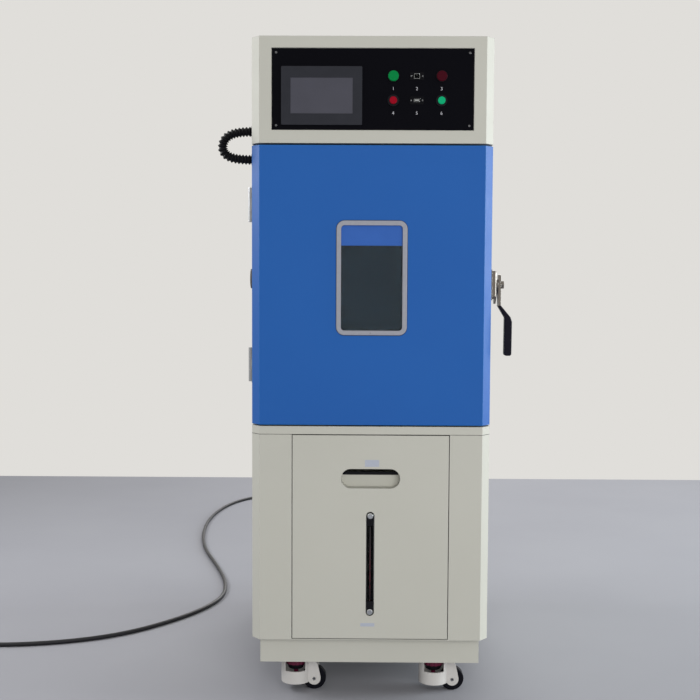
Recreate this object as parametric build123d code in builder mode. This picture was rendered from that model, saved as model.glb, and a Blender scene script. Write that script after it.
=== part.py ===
from build123d import *
import os
from math import pi, radians, tan

os.makedirs("parts", exist_ok=True)

# Environmental test chamber on levelling casters, in millimetres. The origin is on the floor under
# the middle of the cabinet, +Z is up and -Y is the side with the door.

# Cabinet
width = 620
depth = 900
sheet = 2
corner_across = 21
corner_back = 24
caster_height = 108
skirt_drop = 14
skirt_height = 68
skirt_inset = 21
skirt_setback = 24
frame_wall = 3
deck_thickness = 4
lower_height = 543
rail_height = 21
door_height = 718
gap_below_door = 4
gap_above_door = 5
head_height = 269
back_lip = 18

# Door
door_thickness = 78
seal_room = 7
seal_width = 16
seal_clearance = 0.3
plug_depth = 27
plug_clearance = 10

# Working space and the air duct behind it
space_width = 400
space_depth = 400
space_height = 500
space_above_door_middle = 21
duct_depth = 100
liner_wall = 2
liner_flange = 22
insulation_behind = 100
shelf_rises = (110, 325)
shelf_share = 0.8
shelf_inset = 4
shelf_rod = 6
shelf_wire = 3
shelf_wire_count = 12
ledge_width = 12
baffle_slot = 50
grille_slot_count = 16
grille_slot_width = 9
return_slot_count = 10
return_slot_pitch = 30
return_slot_width = 12
return_slot_rise = 45

# Fan, heater and evaporator in the duct
fan_above_space_middle = 115
fan_radius = 70
fan_hub_radius = 14
fan_disc = 3
blade_count = 12
blade_circle = 52
blade_length = 30
blade_thickness = 2.5
blade_turn = 35
motor_side = 120
motor_plate = 6
motor_radius = 45
motor_length = 110
motor_bore_depth = 30
shaft_in_motor = 25
heater_radius = 96
heater_tube = 7
heater_pitch = 20
heater_lead_radius = 3
evaporator_rise = 140
evaporator_inset = 40
evaporator_tube_radius = 4
evaporator_tube_pitch = (26, 32)
evaporator_rows = 5
evaporator_fin = (60, 170, 1.5)
evaporator_fin_count = 15
evaporator_fin_pitch = 22

# Window
window_width = 158
window_height = 270
window_corner = 9
window_lip = 12
lip_proud = 4
window_seat = 6
pane_thickness = 5
pane_grip = 4

# Control panel
panel_width = 514
panel_height = 205
panel_height_above_head = 136
panel_recess = 2
panel_gap = 1
panel_ledge = 8
panel_screw_inset = 11
screen_width = 206
screen_height = 147
screen_offset = -130
glass_width = 158
glass_height = 90
bezel_thickness = 6
screen_body_depth = 38
lamp_columns = (52, 175)
lamp_rises = (33, -28)
socket_column = 112
barrel_radius = 11
ring_radius = 14.5
ring_thickness = 3
button_travel = 3
lamp_body_depth = 45
lamp_bore_depth = 30
cap_proud = 5
cap_plug = 8
cap_wall = 1.5
screen_drop = 17
bezel_overlap = (12, 8)
glass_thickness = 1.5
glass_setback = 1
socket_opening = (18, 16)
socket_plate = (36, 20, 1.5)
socket_body_depth = 25
socket_screw_spacing = 29
network_hole = (13, 11)
memory_stick_hole = (13.5, 6)
contact_depth = 14
panel_screw_radii = (2, 3.6)
socket_screw_radii = (1.5, 2.8)
screw_head = 1.6
screw_length = 5

# Hinges and latch, on the two sides of the door
hinge_rises = (150, 571)
hinge_length = 90
leaf_thickness = 3
leaf_reach = 40
knuckle_radius = 7
knuckle_out = 8
pin_radius = 3
running_gap = 0.05
latch_rise = 364
latch_depth = 49
latch_base_height = 80
latch_base_width = 40
latch_base_thickness = 14
claw_reach = 56
claw_thickness = 5
arm_thickness = 7
arm_width = 24
arm_drop = 54
grip_width = 26
keeper_pin_radius = 6

# Port, hose and cord
port_radius = 25
port_wall = 3
port_below_space_middle = 3
port_setback = 215
hose_diameter = 25
hose_setback = 50
hose_rise = 34
hose_drop = 33
gland_thickness = 2.5
cord_diameter = 13
cord_gland_x = -150
cord_gland_rise = 118
power_plug_height = 24
power_plug_width = 34
power_plug_length = 40
power_plug_neck = 12

# Water drawer
drawer_width = 406
drawer_gap = 2
drawer_tray_depth = 262
drawer_tray_rise = 24
rail_clearance = 0.3
rail_reach = 10
pull_width = 154
pull_height = 51
pull_below_top = 113.5
pull_depth = 32
tank_width = 340
tank_depth = 240
tank_height = 330
tank_setback = 25
gauge_spacing = 254
gauge_rise = 200.5
gauge_width = 18
gauge_clearance = 1
gauge_end = 27
banjo_radius = 8
banjo_height = 6
tube_radius = 5.5

# Cooling unit
compressor_radius = 85
compressor_height = 230
coil_width = 360
coil_height = 330
coil_depth = 40
coil_rise = 44
coil_from_cover = 30
coil_tube_radius = 4.5
coil_tube_pitch = (20, 40)
coil_rows = 8
coil_fin_count = 17
coil_fin_pitch = 20
condenser_fan_radius = 118
condenser_hub_radius = 30
condenser_blade_width = 44
condenser_blade_count = 5
compressor_x = 100
compressor_from_cover = 358
compressor_feet = (150, 110, 12)
compressor_plate = (190, 150, 4)

# Louvres of the rear cover
louvre_length = 180
louvre_width = 9
louvre_pitch = (220, 34)
condenser_louvres = 9
motor_louvres = 5

# Levelling casters
caster_side_inset = 124
caster_end_inset = 90
plate_side = 90
plate_thickness = 6
bolt_spacing = 70
bolt_radius = 4
wheel_radius = 31.5
wheel_width = 24
wheel_offset = 38
wheel_hub_radius = 9
axle_boss_radius = 17
cup_offset = 12
cup_radius = 39.5
cup_wall = 5
cup_bottom = 22
window_low = 56
window_high = 86
body_top = 92
fork_half = 19
pocket_clearance = 2.5
race_radius = 30
race_height = 4
kingpin_radius = 5
foot_radius = 17
foot_rest = 14
foot_stem = 6
foot_plate = 6
thumb_radius = 27
thumb_height = 15
thumb_notches = 12

# Places that follow from the sizes
front = -depth / 2
cover_y = depth / 2 - sheet
skirt_bottom = caster_height - skirt_drop
lower_bottom = skirt_bottom + skirt_height
lower_top = lower_bottom + lower_height
rail_top = lower_top + rail_height
door_bottom = rail_top + gap_below_door
door_top = door_bottom + door_height
head_bottom = door_top + gap_above_door
head_top = head_bottom + head_height
door_back = front + door_thickness
frame_y = door_back + seal_room
liner_depth = space_depth + duct_depth
liner_back = frame_y + liner_depth + liner_wall
foam_back = liner_back + insulation_behind
baffle_y = frame_y + space_depth
space_centre_height = door_bottom + door_height / 2 + space_above_door_middle
space_bottom = space_centre_height - space_height / 2
shelf_heights = [space_bottom + rise for rise in shelf_rises]
fan_height = space_centre_height + fan_above_space_middle
port_height = space_centre_height - port_below_space_middle
port_depth = frame_y + port_setback
hose_depth = front + hose_setback
hinge_heights = [door_bottom + rise for rise in hinge_rises]
latch_height = door_bottom + latch_rise
panel_centre_height = head_bottom + panel_height_above_head
lamp_rows = [panel_centre_height + rise for rise in lamp_rises]
drawer_tray_height = lower_bottom + drawer_tray_rise
coil_bottom = lower_bottom + coil_rise
cord_gland_height = lower_bottom + cord_gland_rise
panel_face = front + panel_recess
panel_back = panel_face + sheet
hinge_x = -width / 2 - knuckle_out
latch_y = front + latch_depth
side = width / 2
caster_across = side - caster_side_inset
caster_along = depth / 2 - caster_end_inset


def facing(y):
    # Plane seen from the front of the cabinet. A negative extrusion goes towards the back.
    return Plane.XZ.offset(-y)


def casing_plan(front_y, back_y, inset=0):
    # Plan of a casing whose two upright front edges are cut off, or of the room inside it.
    with BuildSketch() as plan:
        with BuildLine():
            Polyline(
                (-side, back_y),
                (side, back_y),
                (side, front_y + corner_back),
                (side - corner_across, front_y),
                (corner_across - side, front_y),
                (-side, front_y + corner_back),
                close=True,
            )
        make_face()
        if inset:
            offset(amount=-inset, kind=Kind.INTERSECTION)
    return plan.sketch


def ring_plan(outer_width, outer_height, inner_width, inner_height, corner=0.0):
    # Frame between two rectangles, with rounded corners where a corner radius is given.
    with BuildSketch() as ring:
        if corner:
            RectangleRounded(outer_width, outer_height, corner)
            inner_corner = max(corner - (outer_width - inner_width) / 2, 1)
            RectangleRounded(inner_width, inner_height, inner_corner, mode=Mode.SUBTRACT)
        else:
            Rectangle(outer_width, outer_height)
            Rectangle(inner_width, inner_height, mode=Mode.SUBTRACT)
    return ring.sketch


def cord_radii(points):
    # The arc at each corner is as large as its two runs allow.
    radii = []
    for before, corner, after in zip(points, points[1:], points[2:]):
        first = Vector(*corner) - Vector(*before)
        second = Vector(*after) - Vector(*corner)
        half_turn = radians(first.get_angle(second)) / 2
        radii.append(0.45 * min(first.length, second.length) / tan(half_turn))
    return radii


# Base frame: a folded skirt with a deck that the casters bolt to
skirt_width = width - 2 * skirt_inset
skirt_depth = depth - 2 * skirt_setback
caster_places = [(x, y) for x in (-caster_across, caster_across) for y in (-caster_along, caster_along)]
half_spacing = bolt_spacing / 2
bolt_steps = [(dx, dy) for dx in (-half_spacing, half_spacing) for dy in (-half_spacing, half_spacing)]
bolt_places = [(x + dx, y + dy) for x, y in caster_places for dx, dy in bolt_steps]
deck_top = caster_height + deck_thickness
with BuildPart() as base_frame:
    with BuildSketch(Plane.XY.offset(skirt_bottom)):
        add(ring_plan(skirt_width, skirt_depth, skirt_width - 2 * frame_wall, skirt_depth - 2 * frame_wall))
    extrude(amount=skirt_height)
    with BuildSketch(Plane.XY.offset(caster_height)):
        Rectangle(skirt_width - frame_wall, skirt_depth - frame_wall)
        with Locations(*bolt_places):
            Circle(bolt_radius + running_gap, mode=Mode.SUBTRACT)
    extrude(amount=deck_thickness)
    with BuildSketch(Plane.XY.offset(deck_top)):
        with GridLocations(0, skirt_depth / 2, 1, 2):
            Rectangle(skirt_width - frame_wall, frame_wall)
    extrude(amount=lower_bottom - deck_top)

# Caster plates with the race that the body turns under, and the bolts through the deck
race_bottom = caster_height - plate_thickness - race_height
with BuildPart() as caster_plates:
    with BuildSketch(Plane.XY.offset(caster_height - plate_thickness)):
        with Locations(*caster_places):
            RectangleRounded(plate_side, plate_side, plate_thickness)
    extrude(amount=plate_thickness)
    with BuildSketch(Plane.XY.offset(race_bottom)):
        with Locations(*caster_places):
            Circle(race_radius)
    extrude(amount=race_height)
    with BuildSketch(Plane.XY.offset(race_bottom)):
        with Locations(*caster_places):
            Circle(kingpin_radius + running_gap)
    extrude(amount=race_height + plate_thickness, mode=Mode.SUBTRACT)
    with BuildSketch(Plane.XY.offset(race_bottom)):
        with Locations(*bolt_places):
            Circle(bolt_radius)
    extrude(amount=deck_top + race_height - race_bottom)
    nut_height = 1.6 * bolt_radius
    head_bottom_z = caster_height - plate_thickness - nut_height
    for low in (head_bottom_z, deck_top):
        with BuildSketch(Plane.XY.offset(low)):
            with Locations(*bolt_places):
                RegularPolygon(1.8 * bolt_radius, 6)
        extrude(amount=nut_height)

# Lower casing: the machine room, with the bay that the water drawer runs in
bay_half = drawer_width / 2 + drawer_gap
bay_back = front + drawer_tray_depth + 4 * tank_setback / 5 + sheet
floor_top = lower_bottom + sheet
drawer_bottom = floor_top
rail_top_z = drawer_tray_height - rail_clearance
rear_width = width - 2 * sheet - 2 * back_lip
with BuildPart() as lower_casing:
    with BuildSketch(Plane.XY.offset(lower_bottom)):
        add(casing_plan(front, cover_y))
    extrude(amount=lower_height)
    with BuildSketch(Plane.XY.offset(floor_top)):
        add(casing_plan(front, cover_y, sheet))
    extrude(amount=lower_height, mode=Mode.SUBTRACT)
    with BuildSketch(facing(front)):
        with Locations((0, (floor_top + lower_top) / 2)):
            Rectangle(2 * bay_half, lower_top - floor_top)
    extrude(amount=-sheet, mode=Mode.SUBTRACT)
    with BuildSketch(facing(cover_y)):
        with Locations((0, (floor_top + back_lip + lower_top) / 2)):
            Rectangle(rear_width, lower_top - floor_top - back_lip)
    extrude(amount=sheet, mode=Mode.SUBTRACT)
    with BuildSketch(Plane.XY.offset(floor_top)):
        with Locations((0, (front + sheet + bay_back) / 2)):
            Rectangle(2 * bay_half + 2 * sheet, bay_back - front - sheet)
            with Locations((0, -sheet)):
                Rectangle(2 * bay_half, bay_back - front - sheet, mode=Mode.SUBTRACT)
    extrude(amount=lower_height - sheet)
    with BuildSketch(Plane.XY.offset(rail_top_z - sheet)):
        with Locations((0, (front + 5 * sheet + bay_back - sheet) / 2)):
            with GridLocations(2 * bay_half - rail_reach, 0, 2, 1):
                Rectangle(rail_reach, bay_back - front - 6 * sheet)
    extrude(amount=sheet)

# Upper casing: the rail under the door, the walls round the chamber and the control head in one shell
foam_half = side - sheet
liner_hole_width = space_width + 2 * liner_wall
liner_hole_height = space_height + 2 * liner_wall
with BuildPart() as upper_casing:
    with BuildSketch(Plane.XY.offset(lower_top)):
        add(casing_plan(front, cover_y))
    extrude(amount=head_top - lower_top)
    with BuildSketch(Plane.XY.offset(rail_top)):
        with Locations((0, (front + frame_y) / 2)):
            Rectangle(width, frame_y - front)
    extrude(amount=head_bottom - rail_top, mode=Mode.SUBTRACT)
    with BuildSketch(Plane.XY.offset(lower_top)):
        add(casing_plan(front, cover_y, sheet))
    extrude(amount=rail_height - sheet, mode=Mode.SUBTRACT)
    with BuildSketch(Plane.XY.offset(rail_top)):
        with Locations((0, (frame_y + cover_y) / 2)):
            Rectangle(2 * foam_half, cover_y - frame_y - 2 * sheet)
    extrude(amount=head_bottom - rail_top, mode=Mode.SUBTRACT)
    with BuildSketch(Plane.XY.offset(head_bottom + sheet)):
        add(casing_plan(front, cover_y, sheet))
    extrude(amount=head_height - 2 * sheet, mode=Mode.SUBTRACT)
    rail_room = (lower_top, rail_top - sheet)
    chamber_room = (rail_top, head_bottom)
    head_room = (head_bottom + sheet, head_top - sheet)
    for low, high in (rail_room, chamber_room, head_room):
        with BuildSketch(facing(cover_y)):
            with Locations((0, (low + high) / 2)):
                Rectangle(rear_width, high - low - 2 * (back_lip if low > lower_top else 0))
        extrude(amount=sheet, mode=Mode.SUBTRACT)
    with BuildSketch(facing(frame_y)):
        with Locations((0, space_centre_height)):
            Rectangle(liner_hole_width, liner_hole_height)
    extrude(amount=-sheet, mode=Mode.SUBTRACT)
    opening_width = panel_width + 2 * panel_gap
    opening_height = panel_height + 2 * panel_gap
    with BuildSketch(facing(front)):
        with Locations((0, panel_centre_height)):
            Rectangle(opening_width + 2 * sheet, opening_height + 2 * sheet)
    extrude(amount=-(panel_back + sheet - front))
    with BuildSketch(facing(front)):
        with Locations((0, panel_centre_height)):
            Rectangle(opening_width, opening_height)
    extrude(amount=-(panel_back - front), mode=Mode.SUBTRACT)
    screw_grid = (panel_width - 2 * panel_screw_inset, panel_height - 2 * panel_screw_inset)
    with BuildSketch(facing(front)):
        with Locations((0, panel_centre_height)):
            RectangleRounded(opening_width - 4 * panel_ledge, opening_height - 4 * panel_ledge, panel_ledge)
            with GridLocations(*screw_grid, 2, 2):
                Circle(panel_screw_radii[0])
    extrude(amount=-(panel_back + sheet - front), mode=Mode.SUBTRACT)
    with BuildSketch(Plane.YZ.offset(-side)):
        with Locations((port_depth, port_height)):
            Circle(port_radius + port_wall)
    extrude(amount=sheet, mode=Mode.SUBTRACT)

# Foam between the casing and the liner
with BuildPart() as chamber_insulation:
    with BuildSketch(facing(frame_y + sheet)):
        with Locations((0, (rail_top + head_bottom) / 2)):
            Rectangle(2 * foam_half, head_bottom - rail_top)
        with Locations((0, space_centre_height)):
            Rectangle(liner_hole_width, liner_hole_height, mode=Mode.SUBTRACT)
    extrude(amount=-(liner_back - frame_y - sheet))
    with BuildSketch(facing(liner_back)):
        with Locations((0, (rail_top + head_bottom) / 2)):
            Rectangle(2 * foam_half, head_bottom - rail_top)
        with Locations((0, fan_height)):
            Circle(3 * pin_radius, mode=Mode.SUBTRACT)
    extrude(amount=-insulation_behind)
    with BuildSketch(Plane.YZ.offset(-side)):
        with Locations((port_depth, port_height)):
            Circle(port_radius + port_wall)
    extrude(amount=side - space_width / 2, mode=Mode.SUBTRACT)

# Stainless liner, open at the front, with ledges that the shelves rest on
with BuildPart() as chamber_liner:
    with BuildSketch(facing(frame_y)):
        with Locations((0, space_centre_height)):
            Rectangle(liner_hole_width, liner_hole_height)
    extrude(amount=-(liner_depth + liner_wall))
    with BuildSketch(facing(frame_y)):
        with Locations((0, space_centre_height)):
            Rectangle(space_width, space_height)
    extrude(amount=-liner_depth, mode=Mode.SUBTRACT)
    with BuildSketch(facing(frame_y - liner_wall)):
        with Locations((0, space_centre_height)):
            flange = 2 * liner_flange
            add(ring_plan(space_width + flange, space_height + flange, space_width, space_height))
    extrude(amount=-liner_wall)
    with BuildSketch(facing(frame_y + liner_depth)):
        with Locations((0, fan_height)):
            Circle(3 * pin_radius)
    extrude(amount=-liner_wall, mode=Mode.SUBTRACT)
    with BuildSketch(Plane.YZ.offset(-side)):
        with Locations((port_depth, port_height)):
            Circle(port_radius + port_wall)
    extrude(amount=side - space_width / 2, mode=Mode.SUBTRACT)
    for height in shelf_heights:
        with BuildSketch(Plane.XY.offset(height - shelf_rod / 2 - liner_wall)):
            with Locations((0, frame_y + space_depth / 2)):
                with GridLocations(space_width - ledge_width, 0, 2, 1):
                    Rectangle(ledge_width, shelf_share * space_depth)
        extrude(amount=liner_wall)

# Baffle between the working space and the duct: a ring grille over the fan and slots at the bottom
with BuildPart() as air_baffle:
    with BuildSketch(facing(baffle_y)):
        with Locations((0, space_centre_height)):
            Rectangle(space_width, space_height)
        with Locations((0, fan_height)):
            with PolarLocations(blade_circle, grille_slot_count):
                SlotOverall(baffle_slot, grille_slot_width, mode=Mode.SUBTRACT)
        with Locations((0, space_bottom + return_slot_rise)):
            with GridLocations(return_slot_pitch, 0, return_slot_count, 1):
                SlotOverall(baffle_slot, return_slot_width, rotation=90, mode=Mode.SUBTRACT)
    extrude(amount=-liner_wall)

# Shelves: a rod frame with wires across, resting on the ledges
shelf_width = space_width - 2 * shelf_inset
shelf_depth = shelf_share * space_depth
with BuildPart() as shelves:
    for height in shelf_heights:
        with BuildSketch(Plane.XY.offset(height - shelf_rod / 2)):
            with Locations((0, frame_y + space_depth / 2)):
                inner = (shelf_width - 2 * shelf_rod, shelf_depth - 2 * shelf_rod)
                add(ring_plan(shelf_width, shelf_depth, *inner, corner=2 * shelf_rod))
        extrude(amount=shelf_rod)
        with BuildSketch(facing(frame_y + space_depth / 2 - shelf_depth / 2 + shelf_rod / 2)):
            with Locations((0, height)):
                with GridLocations(shelf_width / (shelf_wire_count + 1), 0, shelf_wire_count, 1):
                    Circle(shelf_wire / 2)
        extrude(amount=-(shelf_depth - shelf_rod))

# Fan in the duct on a shaft through the foam, and the motor behind it
fan_y = baffle_y + 0.3 * duct_depth
motor_y = foam_back
with BuildPart() as circulation_fan:
    with BuildSketch(facing(fan_y)):
        with Locations((0, fan_height)):
            with PolarLocations(blade_circle, blade_count):
                Rectangle(blade_length, blade_thickness, rotation=blade_turn)
    extrude(amount=-0.45 * duct_depth)
    with BuildSketch(facing(fan_y + 0.4 * duct_depth)):
        with Locations((0, fan_height)):
            Circle(fan_radius)
    extrude(amount=-fan_disc)
    with BuildSketch(facing(fan_y + 0.3 * duct_depth)):
        with Locations((0, fan_height)):
            Circle(fan_hub_radius)
    extrude(amount=-0.25 * duct_depth)
    with BuildSketch(facing(fan_y + 0.3 * duct_depth)):
        with Locations((0, fan_height)):
            Circle(pin_radius)
    extrude(amount=-(motor_y + shaft_in_motor - fan_y - 0.3 * duct_depth))
with BuildPart() as fan_motor:
    with BuildSketch(facing(motor_y)):
        with Locations((0, fan_height)):
            RectangleRounded(motor_side, motor_side, motor_side / 10)
    extrude(amount=-motor_plate)
    with BuildSketch(facing(motor_y)):
        with Locations((0, fan_height)):
            Circle(motor_radius)
    extrude(amount=-motor_length)
    fillet(fan_motor.edges().filter_by(GeomType.CIRCLE).sort_by(Axis.Y)[-1], 8)
    with BuildSketch(facing(motor_y)):
        with Locations((0, fan_height)):
            Circle(pin_radius + running_gap)
    extrude(amount=-motor_bore_depth, mode=Mode.SUBTRACT)

# Heater: tube loops round the fan, held by two leads in the back of the duct
heater_y = fan_y + 0.15 * duct_depth
with BuildPart() as heater_coil:
    for loop_y in (heater_y, heater_y + heater_pitch):
        with BuildSketch(facing(loop_y)):
            with Locations((0, fan_height)):
                Circle(heater_radius)
                Circle(heater_radius - heater_tube, mode=Mode.SUBTRACT)
        extrude(amount=-heater_tube)
    with BuildSketch(facing(heater_y + heater_lead_radius)):
        with Locations((0, fan_height)):
            with GridLocations(2 * heater_radius - heater_tube, 0, 2, 1):
                Circle(heater_lead_radius)
    extrude(amount=-(frame_y + liner_depth - heater_y - heater_lead_radius))

# Evaporator: finned tubes low in the duct, on end plates fixed to its back
with BuildPart() as evaporator_coil:
    evaporator_width = space_width - 2 * evaporator_inset
    fin_depth, fin_height, fin_thickness = evaporator_fin
    evaporator_middle = (baffle_y + duct_depth - fin_depth / 2, space_bottom + evaporator_rise)
    with BuildSketch(Plane.YZ):
        with Locations(evaporator_middle):
            with GridLocations(*evaporator_tube_pitch, 2, evaporator_rows):
                Circle(evaporator_tube_radius)
    extrude(amount=evaporator_width / 2, both=True)
    for number in range(evaporator_fin_count):
        fin_x = (number - (evaporator_fin_count - 1) / 2) * evaporator_fin_pitch
        with BuildSketch(Plane.YZ.offset(fin_x)):
            with Locations(evaporator_middle):
                Rectangle(fin_depth, fin_height)
        extrude(amount=fin_thickness)

# Cable port through the side wall, with its soft plug
port_inner = space_width / 2
port_plane = Plane.YZ.offset(-side)
with BuildPart() as cable_port:
    with BuildSketch(port_plane):
        with Locations((port_depth, port_height)):
            Circle(port_radius + 5 * port_wall)
    extrude(amount=-port_wall)
    with BuildSketch(port_plane.offset(-port_wall)):
        with Locations((port_depth, port_height)):
            Circle(port_radius + port_wall)
    extrude(amount=side - port_inner + port_wall)
    with BuildSketch(port_plane.offset(-port_wall)):
        with Locations((port_depth, port_height)):
            Circle(port_radius)
    extrude(amount=side - port_inner + port_wall, mode=Mode.SUBTRACT)
with BuildPart() as port_plug:
    with BuildSketch(port_plane.offset(seal_clearance - port_wall)):
        with Locations((port_depth, port_height)):
            Circle(port_radius - seal_clearance)
    extrude(amount=80)
    with BuildSketch(port_plane.offset(-port_wall - seal_clearance)):
        with Locations((port_depth, port_height)):
            Circle(port_radius - seal_clearance)
    extrude(amount=2 * seal_clearance)
    with BuildSketch(port_plane.offset(-port_wall - seal_clearance)):
        with Locations((port_depth, port_height)):
            Circle(port_radius + 2 * port_wall)
    extrude(amount=-26, taper=8)

# Rear cover with louvre slots beside the condenser and the fan motor
with BuildPart() as rear_cover:
    with BuildSketch(facing(cover_y)):
        with Locations((0, (floor_top + head_top - sheet) / 2)):
            Rectangle(width - 2 * sheet, head_top - sheet - floor_top)
        for height, rows in ((coil_bottom + coil_height / 2, condenser_louvres), (fan_height, motor_louvres)):
            with Locations((0, height)):
                with GridLocations(*louvre_pitch, 2, rows):
                    SlotOverall(louvre_length, louvre_width, mode=Mode.SUBTRACT)
    extrude(amount=-sheet)
    with BuildSketch(facing(cover_y)):
        with Locations((cord_gland_x, cord_gland_height)):
            Circle(cord_diameter)
    extrude(amount=-sheet)
    with BuildSketch(facing(cover_y)):
        with Locations((cord_gland_x, cord_gland_height)):
            Circle(cord_diameter / 2)
    extrude(amount=-sheet, mode=Mode.SUBTRACT)

# Cooling unit in the machine room
compressor_y = cover_y - compressor_from_cover
feet_x, feet_y, feet_height = compressor_feet
base_x, base_y, base_height = compressor_plate
shell_bottom = floor_top + feet_height + base_height
with BuildPart() as compressor:
    with BuildSketch(Plane.XY.offset(floor_top)):
        with Locations((compressor_x, compressor_y)):
            with GridLocations(feet_x, feet_y, 2, 2):
                Circle(feet_height)
    extrude(amount=feet_height)
    with BuildSketch(Plane.XY.offset(floor_top + feet_height)):
        with Locations((compressor_x, compressor_y)):
            RectangleRounded(base_x, base_y, 20)
    extrude(amount=base_height)
    with BuildSketch(Plane.XY.offset(shell_bottom)):
        with Locations((compressor_x, compressor_y)):
            Circle(compressor_radius)
    extrude(amount=compressor_height)
    fillet(compressor.edges().group_by(Axis.Z)[-1], 40)
    with BuildSketch(Plane.XY.offset(floor_top + compressor_height - 30)):
        with Locations((compressor_x - 30, compressor_y)):
            Circle(6)
    extrude(amount=110)
coil_y = cover_y - sheet - coil_from_cover - coil_depth
coil_middle = coil_bottom + coil_height / 2
shroud_y = coil_y - sheet
fan_post = 30
with BuildPart() as condenser:
    with BuildSketch(Plane.XY.offset(floor_top)):
        with Locations((0, coil_y + coil_depth / 2)):
            with GridLocations(coil_width, 0, 2, 1):
                Rectangle(3, coil_depth)
    extrude(amount=coil_bottom + coil_height - floor_top)
    with BuildSketch(Plane.YZ):
        with Locations((coil_y + coil_depth / 2, coil_middle)):
            with GridLocations(*coil_tube_pitch, 2, coil_rows):
                Circle(coil_tube_radius)
    extrude(amount=coil_width / 2, both=True)
    for number in range(coil_fin_count):
        with BuildSketch(Plane.YZ.offset((number + 1) * coil_fin_pitch - coil_width / 2 - 0.5)):
            with Locations((coil_y + coil_depth / 2, coil_middle)):
                Rectangle(coil_depth - 2, coil_height - 6)
        extrude(amount=1)
    with BuildSketch(facing(shroud_y)):
        with Locations((0, coil_middle)):
            Rectangle(coil_width + 3, coil_height)
            Circle(condenser_fan_radius + 8, mode=Mode.SUBTRACT)
            Rectangle(coil_width, 16)
    extrude(amount=-sheet)
    with BuildSketch(facing(shroud_y)):
        with Locations((0, coil_middle)):
            Circle(condenser_hub_radius)
            Circle(pin_radius + running_gap, mode=Mode.SUBTRACT)
    extrude(amount=fan_post)
    with BuildSketch(facing(coil_y - 2 * sheet)):
        with Locations((0, coil_middle)):
            Circle(pin_radius + running_gap)
    extrude(amount=-2 * sheet, mode=Mode.SUBTRACT)
rotor_y = shroud_y - fan_post - seal_clearance
with BuildPart() as condenser_fan:
    with BuildSketch(facing(rotor_y)):
        with Locations((0, coil_middle)):
            Circle(condenser_hub_radius - 2)
            with PolarLocations(condenser_fan_radius / 2 + 12, condenser_blade_count):
                RectangleRounded(condenser_fan_radius - 24, condenser_blade_width, 14)
    extrude(amount=5)
    with BuildSketch(facing(rotor_y)):
        with Locations((0, coil_middle)):
            Circle(pin_radius)
    extrude(amount=-(20 + seal_clearance))

# Control panel: a plate in the head's opening with what is set in it
lamp_places = [(x, z) for x in lamp_columns for z in lamp_rows]
socket_places = [(socket_column, z) for z in lamp_rows]
screen_place = (screen_offset, panel_centre_height - screen_drop)
screen_hole = (screen_width - bezel_overlap[0], screen_height - bezel_overlap[1])
screw_step = socket_screw_spacing / 2
socket_screws = [(x + dx, z) for x, z in socket_places for dx in (-screw_step, screw_step)]
plate_width, plate_height, socket_plate_thickness = socket_plate
corner_screws = [
    (sx * screw_grid[0] / 2, panel_centre_height + sz * screw_grid[1] / 2) for sx in (-1, 1) for sz in (-1, 1)
]
with BuildPart() as control_panel:
    with BuildSketch(facing(panel_face)):
        with Locations((0, panel_centre_height)):
            Rectangle(panel_width, panel_height)
        with Locations(screen_place):
            Rectangle(*screen_hole, mode=Mode.SUBTRACT)
        with Locations(*lamp_places):
            Circle(barrel_radius, mode=Mode.SUBTRACT)
        with Locations(*socket_places):
            Rectangle(*socket_opening, mode=Mode.SUBTRACT)
        with Locations(*corner_screws):
            Circle(panel_screw_radii[0], mode=Mode.SUBTRACT)
        with Locations(*socket_screws):
            Circle(socket_screw_radii[0], mode=Mode.SUBTRACT)
    extrude(amount=-sheet)
with BuildPart() as panel_screws:
    for places, (shank, head), face in (
        (corner_screws, panel_screw_radii, panel_face),
        (socket_screws, socket_screw_radii, panel_face - socket_plate_thickness),
    ):
        with BuildSketch(facing(face)):
            with Locations(*places):
                Circle(head)
        extrude(amount=screw_head)
        with BuildSketch(facing(face)):
            with Locations(*places):
                Circle(shank)
        extrude(amount=-screw_length)
with BuildPart() as touch_screen_body:
    with BuildSketch(facing(panel_face)):
        with Locations(screen_place):
            RectangleRounded(screen_width, screen_height, 3)
    extrude(amount=bezel_thickness)
    with BuildSketch(facing(panel_face)):
        with Locations(screen_place):
            Rectangle(*screen_hole)
    extrude(amount=-screen_body_depth)
    with BuildSketch(facing(panel_face - bezel_thickness)):
        with Locations(screen_place):
            Rectangle(glass_width, glass_height)
    extrude(amount=-(glass_setback + glass_thickness), mode=Mode.SUBTRACT)
with BuildPart() as touch_screen_glass:
    with BuildSketch(facing(panel_face - bezel_thickness + glass_setback)):
        with Locations(screen_place):
            Rectangle(glass_width, glass_height)
    extrude(amount=-glass_thickness)
with BuildPart() as indicator_bodies:
    with BuildSketch(facing(panel_face)):
        with Locations(*lamp_places):
            Circle(ring_radius)
    extrude(amount=ring_thickness)
    with BuildSketch(facing(panel_face)):
        with Locations(*lamp_places):
            Circle(barrel_radius)
    extrude(amount=-lamp_body_depth)
    with BuildSketch(facing(panel_back)):
        with Locations(*lamp_places):
            RegularPolygon(ring_radius, 6)
    extrude(amount=-5)
    with BuildSketch(facing(panel_face - ring_thickness)):
        with Locations(*lamp_places):
            Circle(barrel_radius - cap_wall)
    extrude(amount=-lamp_bore_depth, mode=Mode.SUBTRACT)
cap_radius = barrel_radius - cap_wall - running_gap
with BuildPart() as lamp_lenses:
    with BuildSketch(facing(panel_face - ring_thickness)):
        with Locations(*[(x, lamp_rows[0]) for x in lamp_columns]):
            Circle(ring_radius - 1)
    extrude(amount=cap_proud)
    fillet(lamp_lenses.edges().group_by(Axis.Y)[0], 2.5)
    with BuildSketch(facing(panel_face - ring_thickness)):
        with Locations(*[(x, lamp_rows[0]) for x in lamp_columns]):
            Circle(cap_radius)
    extrude(amount=-cap_plug)


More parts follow.
